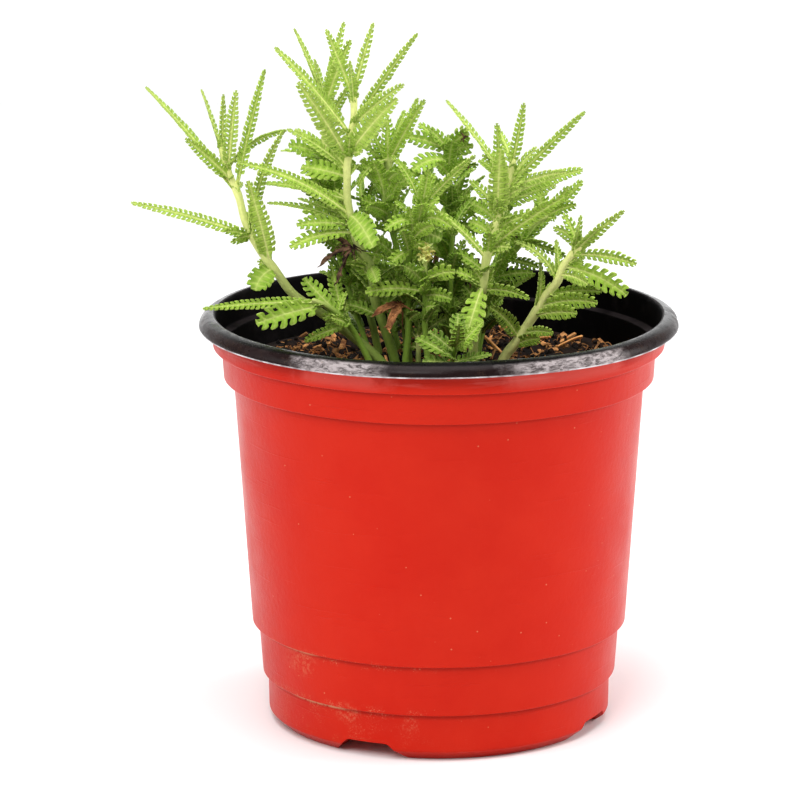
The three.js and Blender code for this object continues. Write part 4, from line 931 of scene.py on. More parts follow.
def add_leaf(surface, leaf, place_age, draw):
    """A leaf blade with rounded lobes folded up along both sides of its flat middle."""
    core, widening, leaning, narrowing, pitch_share, fold_base, fold_sway, spans = LOBES[leaf.kind]
    core = (core + widening * leaf.width) * (0.7 + 0.5 * draw() if leaf.kind == "comb" else 1)
    pitch_length = max(LEAST_LOBE_PITCH, pitch_share * leaf.width)
    teeth = max(3, round(leaf.size * (1 - PETIOLE_END) / pitch_length))
    pitch = (1 - PETIOLE_END) / (teeth + 0.5)
    shares = [0.0, 0.06]
    for tooth in range(teeth):
        shares += [PETIOLE_END + pitch * (tooth + step) for step in (0.5 - spans[0], 0.5, 0.5 + spans[0])]
    last = PETIOLE_END + pitch * teeth
    shares += [last + pitch * 0.05, last + pitch * 0.3, LEAF_END]
    shares = np.array(shares)
    middle = leaf.at(shares)
    along, across, out = leaf.axes(shares)
    reach = leaf.half_width(shares) * (1 - narrowing * np.clip(shares * 2 - 1, 0, 1) ** 2)
    half = np.maximum(reach * core, LEAST_CORE)
    half[:2] = STALK_HALF_WIDTHS
    half[-3] = reach[-3] * core
    half[-2] = reach[-2] * 0.7
    half[-1] = reach[-1] * 0.25
    strip = np.stack([
        middle - across * half[:, None],
        middle - out * MIDRIB_DEPTH,
        middle + across * half[:, None],
    ], axis=1).reshape(-1, 3)
    outs = np.repeat(out, 3, axis=0)
    thick = np.full(len(shares), BLADE_HALF)
    thick[:2] = STALK_HALF
    halves = np.repeat(thick, 3)
    halves[0::3] *= BESIDE_SHARE
    halves[2::3] *= BESIDE_SHARE
    stalk = np.clip(1 - (shares - 0.04) / 0.12, 0, 1)
    values = []
    ribs = stalk + (1 - stalk) * (RIB_FADE[0] + (RIB_FADE[1] - RIB_FADE[0]) * shares)
    beside = stalk + (1 - stalk) * ribs * (1 - half / RIB_HALF_WIDTH)
    for index, share in enumerate(shares):
        in_lobe = (index - 2) % 3 == 1
        for column in (-1, 0, 1):
            vein = 1.0 if column == 0 else (0.9 if in_lobe else 0.0)
            pale = ribs[index] if column == 0 else beside[index]
            values.append([ROOT_EDGE * abs(column), vein, share, place_age, pale])
    lobes = []
    lobe_outs = []
    lobe_halves = []
    step_length = pitch * leaf.size
    more = (draw() - 0.5) * 2 * fold_sway
    for tooth in range(teeth):
        rows = 2 + tooth * 3
        centre = middle[rows + 1]
        ahead, side_way, up = along[rows + 1], across[rows + 1], out[rows + 1]
        wide = reach[rows + 1]
        root = half[rows + 1]
        for sign in (-1, 1):
            length = (wide - root) * (0.9 + 0.2 * draw())
            fold = fold_base + sign * more + 0.3 * (draw() - 0.5)
            lean = leaning * (0.8 + 0.4 * draw())
            for level, ratio in enumerate(LOBE_ROWS, 1):
                span = spans[level] * step_length
                for column in (-1, 0, 1):
                    far = length * ratio
                    curl = LOBE_CURLS[level - 1] - LOBE_SIDE_CURL * abs(column)
                    point = centre + side_way * sign * (root + far * math.cos(fold))
                    point = point + up * (far * math.sin(fold) + curl)
                    point = point + ahead * (column * span + lean * far)
                    lobes.append(point)
                    lobe_outs.append(up * math.cos(fold) - side_way * sign * math.sin(fold))
                    lobe_halves.append(LOBE_HALVES[level - 1])
                    edge = ROOT_EDGE + (1 - ROOT_EDGE) * ratio
                    vein = 0.9 if column == 0 and level < 4 else 0.0
                    values.append([edge, vein, shares[rows + 1], place_age, 0.0])
    points = np.vstack([strip, np.array(lobes)])
    outs = np.vstack([outs, np.array(lobe_outs)])
    halves = np.concatenate([halves, np.array(lobe_halves)])
    surface.add(*closed_sheet(points, outs, halves, leaf_quads(teeth), np.array(values)))


def add_bar(surface, points, radii, sides, values, squareness=0.0, slot=0):
    """A closed bar along points, round or a little square, with capped ends."""
    along = unit(np.gradient(points, axis=0))
    right = np.cross(np.array([0.0, 1.0, 0.0]), along)
    weak = np.linalg.norm(right, axis=1) < 0.05
    right[weak] = np.cross(np.array([1.0, 0.0, 0.0]), along[weak])
    right = unit(right)
    front = np.cross(along, right)
    angles = np.arange(sides) / sides * 2 * math.pi
    shape = 1 + squareness * np.cos(4 * angles)
    ring = right[:, None] * (np.cos(angles) * shape)[None, :, None]
    ring = ring + front[:, None] * (np.sin(angles) * shape)[None, :, None]
    skin = points[:, None] + ring * np.asarray(radii)[:, None, None]
    faces = []
    for row in range(len(points) - 1):
        for side in range(sides):
            a = row * sides + side
            b = row * sides + (side + 1) % sides
            faces.append((a, b, b + sides, a + sides))
    faces.append(tuple(reversed(range(sides))))
    last = (len(points) - 1) * sides
    faces.append(tuple(range(last, last + sides)))
    surface.add(skin.reshape(-1, 3), faces, np.repeat(np.asarray(values), sides, axis=0), slot)


def add_stem(surface, curve, shoot, places, age_low, age_high):
    """A squarish stem, a little thicker at each pair of leaves, with a rounded tip."""
    steps = max(8, round(curve.length() / STEM_STEP))
    share = np.linspace(0, 1, steps + 1)
    points = curve.at(share)
    radii = shoot["radius"] * STEM_SLIMNESS * (1 - (1 - STEM_TIP_SHARE) * share)
    lengths = share * curve.length()
    for place in places:
        off = (lengths - place * curve.length()) / NODE_REACH
        radii = radii * (1 + NODE_SWELLING * np.exp(-(off**2)))
    ages = age_low + (age_high - age_low) * share
    values = np.stack([np.full_like(share, 0.5), 0 * share, share, ages, np.ones_like(share)], axis=1)
    tip = points[-1] + curve.direction(1.0)[0] * radii[-1] * 0.7
    points = np.vstack([points, tip])
    radii = np.append(radii, radii[-1] * 0.45)
    values = np.vstack([values, values[-1]])
    add_bar(surface, points, radii, STEM_SIDES, values, STEM_SQUARENESS)


def turned(profile, sides, slots):
    """A closed body turned about the Z axis: points, faces and a material slot per face."""
    angles = np.arange(sides) / sides * 2 * math.pi
    points = []
    rings = []
    for radius, height in profile:
        if radius == 0:
            rings.append([len(points)] * sides)
            points.append((0.0, 0.0, height))
            continue
        rings.append(list(range(len(points), len(points) + sides)))
        points += [(radius * math.cos(a), radius * math.sin(a), height) for a in angles]
    faces = []
    face_slots = []
    for low, high, slot in zip(rings, rings[1:], slots):
        for side in range(sides):
            after = (side + 1) % sides
            corners = (low[side], low[after], high[after], high[side])
            faces.append(tuple(dict.fromkeys(corners)))
            face_slots.append(slot)
    return np.array(points), faces, face_slots


def rounded(profile, radius, steps=3):
    """A profile whose inner corners are eased by short curves."""
    eased = [profile[0]]
    for before, corner, after in zip(profile, profile[1:], profile[2:]):
        before, corner, after = (np.array(place, float) for place in (before, corner, after))
        back = min(radius, 0.4 * np.linalg.norm(before - corner))
        on = min(radius, 0.4 * np.linalg.norm(after - corner))
        start = corner + unit(before - corner) * back
        end = corner + unit(after - corner) * on
        for step in range(steps + 1):
            t = step / steps
            eased.append(tuple(start * (1 - t) ** 2 + corner * 2 * t * (1 - t) + end * t * t))
    eased.append(profile[-1])
    return eased


def solid_object(name, points, faces, slots, materials):
    """A plain mesh object, in metres, for cutting with."""
    mesh = bpy.data.meshes.new(name)
    mesh.from_pydata((np.asarray(points) * MM).tolist(), [], faces)
    for material in materials:
        mesh.materials.append(material)
    mesh.polygons.foreach_set("material_index", np.array(slots, np.int32))
    work = bmesh.new()
    work.from_mesh(mesh)
    bmesh.ops.recalc_face_normals(work, faces=work.faces)
    work.to_mesh(mesh)
    work.free()
    made = bpy.data.objects.new(name, mesh)
    bpy.context.scene.collection.objects.link(made)
    return made


def taken(body, name):
    """The mesh of an object under a new name, with the object itself removed."""
    mesh = body.data.copy()
    mesh.name = name
    spent = body.data
    bpy.data.objects.remove(body)
    bpy.data.meshes.remove(spent)
    return mesh


def less(body, cutter):
    """Cuts one solid out of another, and removes both."""
    modifier = body.modifiers.new("cut", "BOOLEAN")
    modifier.operation = "DIFFERENCE"
    modifier.solver = "EXACT"
    modifier.object = cutter
    bpy.context.view_layer.update()
    seen = body.evaluated_get(bpy.context.evaluated_depsgraph_get())
    mesh = bpy.data.meshes.new_from_object(seen)
    made = bpy.data.objects.new(body.name, mesh)
    bpy.context.scene.collection.objects.link(made)
    for spent in (body, cutter):
        spent_mesh = spent.data
        bpy.data.objects.remove(spent)
        bpy.data.meshes.remove(spent_mesh)
    return made


def channel_prisms(growth, slot):
    """Prisms that cut the notches of the feet with their channels, grown by a distance."""
    points = []
    faces = []
    bottom = NOTCH_CUT_FROM
    slope = (NOTCH_BOTTOM_HALF - NOTCH_TOP_HALF) / NOTCH_HEIGHT
    spread = NOTCH_BOTTOM_HALF + growth - slope * bottom
    top = NOTCH_HEIGHT + growth
    outline = [(-spread, bottom), (spread, bottom), (NOTCH_TOP_HALF + growth, top)]
    outline = rounded([*outline, (-NOTCH_TOP_HALF - growth, top), (-spread, bottom)], NOTCH_CORNER, 2)
    outline = outline[:-1]
    near = CHANNEL_INNER_RADIUS - growth
    far = near + CHANNEL_LENGTH + growth
    for turn in NOTCH_TURNS:
        out = (math.cos(turn), math.sin(turn))
        start = len(points)
        for radius in (near, far):
            for side, height in outline:
                points.append((out[0] * radius - out[1] * side, out[1] * radius + out[0] * side, height))
        count = len(outline)
        faces.append(tuple(start + k for k in range(count)))
        faces.append(tuple(start + count + k for k in reversed(range(count))))
        for k in range(count):
            after = (k + 1) % count
            faces.append((start + k, start + count + k, start + count + after, start + after))
    return points, faces, [slot] * len(faces)


def drain_holes(slot):
    """Round prisms that cut a drain hole up from the channel of each notch."""
    points = []
    faces = []
    sides = DRAIN_HOLE_SIDES
    for turn in NOTCH_TURNS:
        x = DRAIN_HOLE_PLACE * math.cos(turn)
        y = DRAIN_HOLE_PLACE * math.sin(turn)
        start = len(points)
        for height in DRAIN_HOLE_REACH:
            for k in range(sides):
                angle = k / sides * 2 * math.pi
                points.append((
                    x + DRAIN_HOLE_RADIUS * math.cos(angle),
                    y + DRAIN_HOLE_RADIUS * math.sin(angle),
                    height,
                ))
        faces.append(tuple(start + k for k in reversed(range(sides))))
        faces.append(tuple(start + sides + k for k in range(sides)))
        for k in range(sides):
            after = (k + 1) % sides
            faces.append((start + k, start + after, start + sides + after, start + sides + k))
    return points, faces, [slot] * len(faces)


def wall_profile(inward):
    """The pot wall's profile moved in by a distance, up to its skirt."""
    radius, height = BASE_ROUND
    base = (BASE_RADIUS - inward * BASE_IN_SHARE, inward)
    base_round = (radius - inward * ROUND_IN_SHARE, height + inward * ROUND_UP_SHARE)
    return [base, base_round] + [(radius - inward, height + inward) for radius, height in WALL]


def soil_height(x, y):
    wave = math.sin(x * 0.21 + 1.3) * math.cos(y * 0.17) + 0.5 * math.sin(x * 0.43 - y * 0.37)
    return SOIL_TOP + SOIL_WAVE * wave


def crumbly_height(x, y):
    """The potting mix's own height with its clods, lower where it has shrunk from the wall."""
    pitch, layer, clod_height = CLODS
    clods = noise.fractal(Vector((x * pitch, y * pitch, layer)), 0.8, 2.2, 4)
    pitch, layer, grit_height = GRIT
    grit = noise.noise(Vector((x * pitch, y * pitch, layer)))
    radius = math.hypot(x, y)
    shrunk = max(0.0, radius - SHRUNK_FROM) * SHRUNK_SLOPE
    height = soil_height(x, y) - SOIL_SINK + clod_height * clods + grit_height * grit - shrunk
    return max(height, SOIL_ON_LEDGE) if radius > SOIL_ON_LEDGE_FROM else height


# The group sockets that hold a colour; the others hold a number.
COLOUR_SOCKETS = ("Colour", "Other", "Dust")


class Graph:
    """Adds nodes to one node tree, with their inputs set or linked."""

    def __init__(self, tree):
        self.tree = tree

    def add(self, kind, inputs=None, **settings):
        made = self.tree.nodes.new(kind)
        for key, value in settings.items():
            setattr(made, key, value)
        for key, value in (inputs or {}).items():
            self.put(made.inputs[key], value)
        return made

    def put(self, socket, value):
        """Links a socket, or sets its number or its opaque colour."""
        if isinstance(value, bpy.types.NodeSocket):
            self.tree.links.new(value, socket)
        elif socket.type == "RGBA":
            socket.default_value = (*value[:3], 1.0)
        else:
            socket.default_value = value

    def math(self, operation, first, second=0.0, clamp=False):
        made = self.add("ShaderNodeMath", {0: first, 1: second}, operation=operation, use_clamp=clamp)
        return made.outputs[0]

    def plus(self, first, second):
        return self.math("ADD", first, second)

    def minus(self, first, second):
        return self.math("SUBTRACT", first, second)

    def times(self, first, *others):
        for other in others:
            first = self.math("MULTIPLY", first, other)
        return first

    def most(self, first, *others):
        """The largest of the values."""
        for other in others:
            first = self.math("MAXIMUM", first, other)
        return first

    def off(self, across, up):
        """How far a place lies off, from its two distances."""
        return self.math("SQRT", self.plus(self.times(across, across), self.times(up, up)))

    def blend(self, factor, first, second, mode="MIX"):
        inputs = {0: factor, 6: first, 7: second}
        made = self.add("ShaderNodeMix", inputs, data_type="RGBA", blend_type=mode, clamp_factor=True)
        return made.outputs[2]

    def remap(self, value, low, high, to_low=0.0, to_high=1.0):
        inputs = {0: value, 1: low, 2: high, 3: to_low, 4: to_high}
        return self.add("ShaderNodeMapRange", inputs, interpolation_type="SMOOTHSTEP").outputs[0]

    def noise(self, scale, detail=3.0, roughness=0.5, vector=None, distortion=0.0):
        inputs = {"Scale": scale, "Detail": detail, "Roughness": roughness, "Distortion": distortion}
        inputs["Vector"] = vector or self.place()
        return self.add("ShaderNodeTexNoise", inputs).outputs[0]

    def place(self):
        return self.add("ShaderNodeTexCoord").outputs["Object"]

    def stretched(self, across, depth, height):
        """The place on the object, scaled along each axis."""
        return self.add("ShaderNodeMapping", {0: self.place(), 3: (across, depth, height)}).outputs[0]

    def split(self, vector):
        return self.add("ShaderNodeSeparateXYZ", {0: vector}).outputs

    def value(self, name):
        return self.add("ShaderNodeAttribute", attribute_name=name).outputs["Fac"]

    def shared(self, name, inputs, outputs, wire):
        """The outputs of a node group, which is made and wired at its first use."""
        tree = bpy.data.node_groups.get(name)
        if tree is None:
            tree = bpy.data.node_groups.new(name, "ShaderNodeTree")
            for in_out, labels in (("INPUT", inputs), ("OUTPUT", outputs)):
                for label in labels:
                    kind = "NodeSocketColor" if label in COLOUR_SOCKETS else "NodeSocketFloat"
                    tree.interface.new_socket(name=label, in_out=in_out, socket_type=kind)
            given = tree.nodes.new("NodeGroupInput").outputs
            wire(Graph(tree), given, tree.nodes.new("NodeGroupOutput").inputs)
        return self.add("ShaderNodeGroup", inputs, node_tree=tree).outputs

    def mottled(self, colour, other, scale, contrast):
        inputs = {"Colour": colour, "Other": other, "Scale": scale, "Contrast": contrast}
        return self.shared("mottling", inputs, ["Colour"], wire_mottling)[0]

    def dusty(self, colour, dust, where, amount):
        inputs = {"Colour": colour, "Dust": dust, "Where": where, "Amount": amount}
        return self.shared("dust", inputs, ["Colour", "Mask"], wire_dust)

    def grain(self, scale, fine):
        return self.shared("grain", {"Scale": scale, "Fine": fine}, ["Height"], wire_grain)[0]


def wire_mottling(graph, given, out):
    """Two colours that drift into each other over the surface."""
    drift = graph.noise(given["Scale"], 4.0, 0.6)
    low = graph.minus(0.5, given["Contrast"])
    high = graph.plus(0.5, given["Contrast"])
    graph.put(out["Colour"], graph.blend(graph.remap(drift, low, high), given["Colour"], given["Other"]))


def wire_dust(graph, given, out):
    """Pale dust and fine specks that gather where the given mask allows them."""
    patches = graph.remap(graph.noise(160.0, 5.0, 0.7), 0.46, 0.62)
    grains = graph.remap(graph.noise(2600.0, 2.0, 0.6), 0.5, 0.7)
    settled = graph.times(patches, grains, given["Where"])
    cells = graph.add("ShaderNodeTexVoronoi", {"Scale": 250.0, "Vector": graph.place()}).outputs
    chance = graph.add("ShaderNodeSeparateColor", {0: cells["Color"]}).outputs[0]
    specks = graph.times(graph.remap(cells["Distance"], 0.075, 0.03), graph.remap(chance, 0.55, 0.62))
    both = graph.most(settled, graph.times(specks, 0.6))
    mask = graph.math("MULTIPLY", both, given["Amount"], clamp=True)
    graph.put(out["Colour"], graph.blend(mask, given["Colour"], given["Dust"]))
    graph.put(out["Mask"], mask)


def wire_grain(graph, given, out):
    """Fine relief of two sizes, as a height."""
    coarse = graph.noise(given["Scale"], 3.0, 0.55)
    fine = graph.noise(graph.times(given["Scale"], 6.0), 2.0, 0.6)
    graph.put(out["Height"], graph.plus(coarse, graph.times(fine, given["Fine"])))


def new_material(name, **uniform):
    """A material with one Principled shader whose uniform values are set on its sockets."""
    material = bpy.data.materials.new(name)
    material.use_nodes = True
    tree = material.node_tree
    tree.nodes.clear()
    graph = Graph(tree)
    surface = graph.add("ShaderNodeBsdfPrincipled")
    for key, value in uniform.items():
        surface.inputs[key.replace("_", " ")].default_value = value
    graph.add("ShaderNodeOutputMaterial", {"Surface": surface.outputs[0]})
    return material, graph, surface


def relief(graph, surface, height, strength, distance):
    bump = graph.add("ShaderNodeBump", {"Strength": strength, "Distance": distance, "Height": height})
    graph.put(surface.inputs["Normal"], bump.outputs[0])


def roughen(graph, surface, scale, low, high):
    """Roughness that drifts between two values."""
    graph.put(surface.inputs["Roughness"], graph.remap(graph.noise(scale), 0.3, 0.7, low, high))


def aged_blade(graph, look):
    """The colour of a blade by its age, with a slow drift."""
    drift = graph.times(graph.minus(graph.noise(150.0, 2.0), 0.5), 0.35)
    ramp = graph.add("ShaderNodeValToRGB", {0: graph.plus(graph.value("age"), drift)})
    steps = [(0.0, look.youngest), (0.3, look.young), (0.66, look.green), (1.0, look.dark)]
    band = ramp.color_ramp
    while len(band.elements) < len(steps):
        band.elements.new(0.5)
    for element, (place, colour) in zip(band.elements, steps):
        element.position = place
        element.color = (*colour, 1.0)
    return ramp.outputs[0]


def foliage_material(name, look):
    """Downy leaves and stems: pale midribs and lobe ends, darker with age, with painted shade between the
    lobes and low and deep in the plant.
    """
    sheen = {"Sheen_Weight": 0.04, "Sheen_Roughness": 0.5, "Sheen_Tint": (0.9, 1.0, 0.8, 1.0)}
    material, graph, surface = new_material(name, Specular_IOR_Level=0.16, **sheen)
    blade = aged_blade(graph, look)
    edge = graph.value("edge")
    vein = graph.value("vein")
    pale = graph.blend(0.62, blade, look.stem)
    deep = graph.blend(1.0, blade, (0.55, 0.72, 0.32), "MULTIPLY")
    blade = graph.blend(graph.times(graph.remap(edge, 0.25, 0.6), 0.34), blade, deep)
    # Painted shade between the lobes, near their roots and off the veins.
    lobe_gap_shade = graph.times(graph.remap(edge, 0.7, 0.36), graph.minus(1.0, vein))
    blade = graph.blend(graph.times(lobe_gap_shade, 0.52), blade, deep)
    blade = graph.blend(graph.times(graph.math("POWER", vein, 3.0), 0.36), blade, pale)
    blade = graph.blend(graph.times(graph.remap(edge, 0.86, 1.0), 0.64), blade, pale)
    ribbed = graph.remap(vein, 0.0, 1.0, 1.0, 0.45)
    stem_age = graph.times(graph.remap(graph.value("age"), 0.0, 0.62), ribbed)
    stem = graph.blend(stem_age, look.stem, look.old_stem)
    stalk = graph.remap(graph.value("stalk"), 0.0, 1.0)
    blade = graph.blend(stalk, blade, stem)
    speckle = graph.blend(graph.remap(stalk, 0.0, 1.0, 0.24, 0.1), blade, (0.02, 0.05, 0.005))
    mottled = graph.mottled(blade, speckle, 650.0, 0.13)
    across, depth, height = graph.split(graph.place())
    # Painted shade: low in the plant and near its middle the colour darkens, stems less than leaves.
    within = graph.remap(graph.off(across, depth), 0.03, 0.012, 0.24, 1.0)
    low = graph.times(graph.remap(height, 0.142, 0.104), within, graph.remap(stalk, 0.0, 1.0, 0.75, 0.2))
    dim = graph.blend(1.0, mottled, (0.16, 0.22, 0.08), "MULTIPLY")
    graph.put(surface.inputs["Base Color"], graph.blend(low, mottled, dim))
    roughen(graph, surface, 700.0, 0.48, 0.66)
    ridges = graph.times(graph.math("POWER", vein, 2.0), -1.2)
    relief(graph, surface, graph.plus(graph.grain(1000.0, 0.5), ridges), 0.8, 0.0003)
    return material


def wall_material(look):
    """Glossy red plastic with faint flow in the sheet, dust on its ledges, fine specks, painted shade in
    its creases, under the rim and at the foot, and a painted reflection under the rim.
    """
    material, graph, surface = new_material("pot_wall_red", Specular_IOR_Level=0.08)
    mottled = graph.mottled(look.wall, look.wall_worn, 38.0, 0.25)
    across, depth, height = graph.split(graph.place())
    ledges = []
    for level, reach in DUSTY_LEDGES:
        off = graph.math("ABSOLUTE", graph.minus(height, level))
        ledges.append(graph.remap(off, reach, 0.0002))
    left = graph.remap(across, 0.012, -0.03, 0.08, 1.0)
    low = graph.remap(height, 0.02, 0.004, 0.0, 0.3)
    where = graph.plus(graph.times(graph.most(*ledges), left), graph.times(low, left))
    dusty, dust = graph.dusty(mottled, look.dust, where, look.dustiness)
    # The stretches of painted reflection, which also lighten the painted shade under the rim.
    lit = reflection_stretches(graph, across)
    # Painted shade: the creases, the band under the rim and the foot are darkened towards a deep red.
    shaded = graph.blend(wall_creases(graph, height, lit), dusty, [shade * 0.4 for shade in look.wall])
    front = graph.remap(depth, 0.0, -0.01)
    for dirt in (caked_creases(graph, across, height, front), dusty_spots(graph, across, height, front)):
        shaded = graph.blend(graph.times(dirt, look.dustiness), shaded, look.dust)
    # Pale scuffs under the rim, with a painted reflection added in the lit stretches.
    scuffs_and_reflection = graph.noise(1.0, 4.0, 0.62, graph.stretched(40.0, 40.0, 420.0), 0.3)
    scuffs_and_reflection = graph.times(graph.remap(scuffs_and_reflection, 0.5, 0.72), 0.2)
    scuffs_and_reflection = graph.times(graph.plus(scuffs_and_reflection, graph.times(lit, 0.26)), graph.remap(height, 0.1135, 0.117))
    graph.put(surface.inputs["Base Color"], graph.blend(scuffs_and_reflection, shaded, look.scuff_and_reflection))
    gloss = graph.remap(graph.noise(55.0, 4.0, 0.6), 0.3, 0.7, 0.28, 0.4)
    graph.put(surface.inputs["Roughness"], graph.plus(gloss, graph.times(dust, 0.4)))
    scratches = graph.noise(1.0, 2.0, 0.5, graph.stretched(30.0, 30.0, 900.0), 0.6)
    scratches = graph.times(graph.remap(scratches, 0.66, 0.72), 0.5)
    relief(graph, surface, graph.plus(graph.grain(640.0, 0.3), scratches), 0.45, 0.0002)
    return material


def wall_creases(graph, height, lit):
    """Shade in the creases under the ledges, under the rim and at the foot."""
    creases = []
    for level in CREASE_HEIGHTS:
        below = graph.minus(level, height)
        creases.append(graph.times(graph.remap(below, 0.0015, 0.0001), graph.remap(below, -0.0002, 0.0)))
    under = graph.times(graph.remap(height, 0.1150, 0.1186, 0.0, 0.5), graph.remap(lit, 1.0, 0.0))
    foot = graph.times(graph.remap(height, 0.0042, 0.001), graph.remap(height, 0.0, 0.0004, 0.0, 0.45))
    return graph.most(graph.times(graph.most(*creases), 0.55), under, foot)


def caked_creases(graph, across, height, front):
    """Dust caked in stretches of two creases."""
    caked = []
    for level, start, end in CAKED_CREASES:
        below = graph.minus(level, height)
        line = graph.times(graph.remap(below, 0.0009, 0.0002), graph.remap(below, -0.0004, -0.0001))
        begun = graph.remap(across, start - 0.003, start + 0.001)
        ended = graph.remap(across, end + 0.004, end - 0.001)
        caked.append(graph.times(line, graph.times(begun, ended)))
    patchy = graph.remap(graph.noise(700.0, 3.0, 0.6), 0.28, 0.5)
    return graph.times(graph.most(*caked), patchy, front)


def dusty_spots(graph, across, height, front):
    """Round spots of powdery dust."""
    spots = []
    for middle, level, radius in DUSTY_SPOTS:
        off = graph.off(graph.minus(across, middle), graph.minus(height, level))
        spots.append(graph.remap(off, radius, radius * 0.2))
    powder = graph.remap(graph.noise(900.0, 5.0, 0.75), 0.44, 0.68, 0.0, 0.34)
    return graph.times(graph.most(*spots), powder, front)


def reflection_stretches(graph, across):
    """Where the front of the rim and the wall right under it get a painted satin reflection."""
    sway = graph.times(graph.minus(graph.noise(120.0, 4.0, 0.6), 0.5), 0.02)
    across = graph.plus(across, sway)
    stretches = []
    for middle, half in REFLECTION_STRETCHES:
        off = graph.math("ABSOLUTE", graph.minus(across, middle))
        stretches.append(graph.remap(off, half, half * 0.5))
    return graph.most(*stretches)


def lining_material(look):
    """Black plastic of the inside, with faint smudges and a painted highlight where it faces up."""
    material, graph, surface = new_material("pot_lining_black", Specular_IOR_Level=0.04)
    smudge = graph.remap(graph.noise(85.0, 6.0, 0.68), 0.5, 0.75, 0.0, 0.04)
    # Painted highlight: ledges and edges that face up are paler grey, in patches.
    facing = graph.split(graph.add("ShaderNodeNewGeometry").outputs["Normal"])
    patchy = graph.remap(graph.noise(70.0, 4.0, 0.6), 0.38, 0.62, 0.25, 1.0)
    ledge = graph.times(graph.remap(facing[2], 0.45, 0.95, 0.0, 0.09), patchy)
    base = graph.blend(graph.most(smudge, ledge), look.lining, look.smudge_and_highlight)
    graph.put(surface.inputs["Base Color"], base)
    roughen(graph, surface, 120.0, 0.5, 0.65)
    relief(graph, surface, graph.grain(260.0, 0.4), 0.2, 0.0002)
    return material


def rim_material(look):
    """Black plastic of the rolled rim, with a painted satin-grey reflection in long patches."""
    material, graph, surface = new_material("pot_rim_black", Specular_IOR_Level=0.09)
    across, depth, height = graph.split(graph.place())
    outside = graph.remap(graph.off(across, depth), 0.0674, 0.0682)
    face = graph.times(outside, graph.remap(height, 0.1232, 0.1226))
    stretched = graph.stretched(1.0, 1.0, 3.0)
    smudge = graph.remap(graph.noise(85.0, 6.0, 0.68, stretched, 0.4), 0.44, 0.72)
    faint = graph.times(smudge, graph.remap(face, 0.0, 1.0, 0.02, 0.05))
    worn = graph.blend(faint, graph.blend(face, look.lining, look.rim), look.smudge_and_highlight)
    patchy = graph.remap(graph.noise(300.0, 5.0, 0.75, stretched, 0.6), 0.36, 0.6, 0.12, 0.88)
    # Painted reflection: satin-grey patches over the front of the rim's face.
    patches = graph.times(reflection_stretches(graph, across), face, patchy)
    base = graph.blend(patches, worn, look.rim_reflection)
    dusty = graph.dusty(base, look.dust, graph.times(face, 0.2), look.dustiness * 0.4)[0]
    graph.put(surface.inputs["Base Color"], dusty)
    rub = graph.remap(graph.noise(380.0, 3.0, 0.6), 0.4, 0.62, 0.0, 0.08)
    gloss = graph.plus(graph.remap(smudge, 0.0, 1.0, 0.22, 0.36), rub)
    graph.put(surface.inputs["Roughness"], gloss)
    relief(graph, surface, graph.grain(260.0, 0.4), 0.2, 0.0002)
    return material


def cut_edge_material(look):
    """The pale cut edge of the sheet under the rolled rim, dirty in places."""
    material, graph, surface = new_material("pot_cut_edge")
    graph.put(surface.inputs["Base Color"], graph.mottled(look.cut_edge, look.smudge_and_highlight, 150.0, 0.12))
    roughen(graph, surface, 300.0, 0.35, 0.6)
    relief(graph, surface, graph.grain(500.0, 0.5), 0.3, 0.0002)
    return material


def earthy_material(name, colour, other, scale, roughness, depth, spread=0.22):
    """Peat, bark, coir, perlite, wood or dried leaves: two colours, rough, a shade for each bit."""
    material, graph, surface = new_material(name, Specular_IOR_Level=0.25)
    shade = graph.remap(graph.value("age"), 0.0, 1.0, 0.45, 1.5)
    tint = graph.add("ShaderNodeCombineColor", {0: shade, 1: shade, 2: shade}).outputs[0]
    mottled = graph.mottled(colour, other, scale, spread)
    graph.put(surface.inputs["Base Color"], graph.blend(1.0, mottled, tint, "MULTIPLY"))
    roughen(graph, surface, scale * 0.7, roughness - 0.08, roughness)
    relief(graph, surface, graph.grain(scale, 0.6), 0.8, depth)
    return material


def floor_material(look):
    """A plain pale floor with barely any drift in its tone."""
    material, graph, surface = new_material("pale_floor", Specular_IOR_Level=0.1)
    mottled = graph.mottled(look.floor, [shade * 0.985 for shade in look.floor], 3.0, 0.3)
    graph.put(surface.inputs["Base Color"], mottled)
    roughen(graph, surface, 40.0, 0.8, 0.9)
    return material


def srgb(red, green, blue):
    """A colour from its screen values, 0 to 255, as linear light."""
    shares = [value / 255 for value in (red, green, blue)]
    return tuple(s / 12.92 if s <= 0.04045 else ((s + 0.055) / 1.055) ** 2.4 for s in shares)


def colour_property(name, description, red, green, blue):
    return FloatVectorProperty(
        name=name, description=description, subtype="COLOR", size=3, min=0, max=1,
        default=srgb(red, green, blue),
    )


class PotLook(bpy.types.PropertyGroup):
    """Colours and wear of the nursery pot."""

    wall: colour_property("Wall", "Red plastic of the outside", 188, 29, 11)
    wall_worn: colour_property("Worn wall", "Paler red where the sheet is stretched", 193, 36, 16)
    # Colour of the pale scuffs and of the painted reflection under the rim.
    scuff_and_reflection: colour_property("Scuffs and reflection", "Pale scuffs under the rim", 214, 120, 112)
    lining: colour_property("Lining", "Black plastic of the inside", 2, 1, 1)
    rim: colour_property("Rim", "Black plastic of the rim's face", 26, 15, 15)
    # Colour of the painted reflection on the rim's face.
    rim_reflection: colour_property("Rim reflection", "Rim where it is rubbed satin", 176, 166, 166)
    smudge_and_highlight: colour_property("Smudges and highlights", "Grey smudges and painted highlights on the black plastic", 124, 110, 112)
    cut_edge: colour_property("Cut edge", "Pale cut edge of the sheet under the rim", 205, 203, 206)
    dust: colour_property("Dust", "Dry dust on ledges and rim", 205, 160, 120)
    dustiness: FloatProperty(name="Dustiness", description="How much dust shows", subtype="FACTOR",
                             default=0.75, min=0, max=1)
    sides: IntProperty(name="Sides", description="Facets around the pot", default=240, min=32, max=512)
    nick: FloatProperty(name="Nick", description="Depth of the nick in the rim", unit="LENGTH",
                        default=0.0008, min=0, max=0.003)


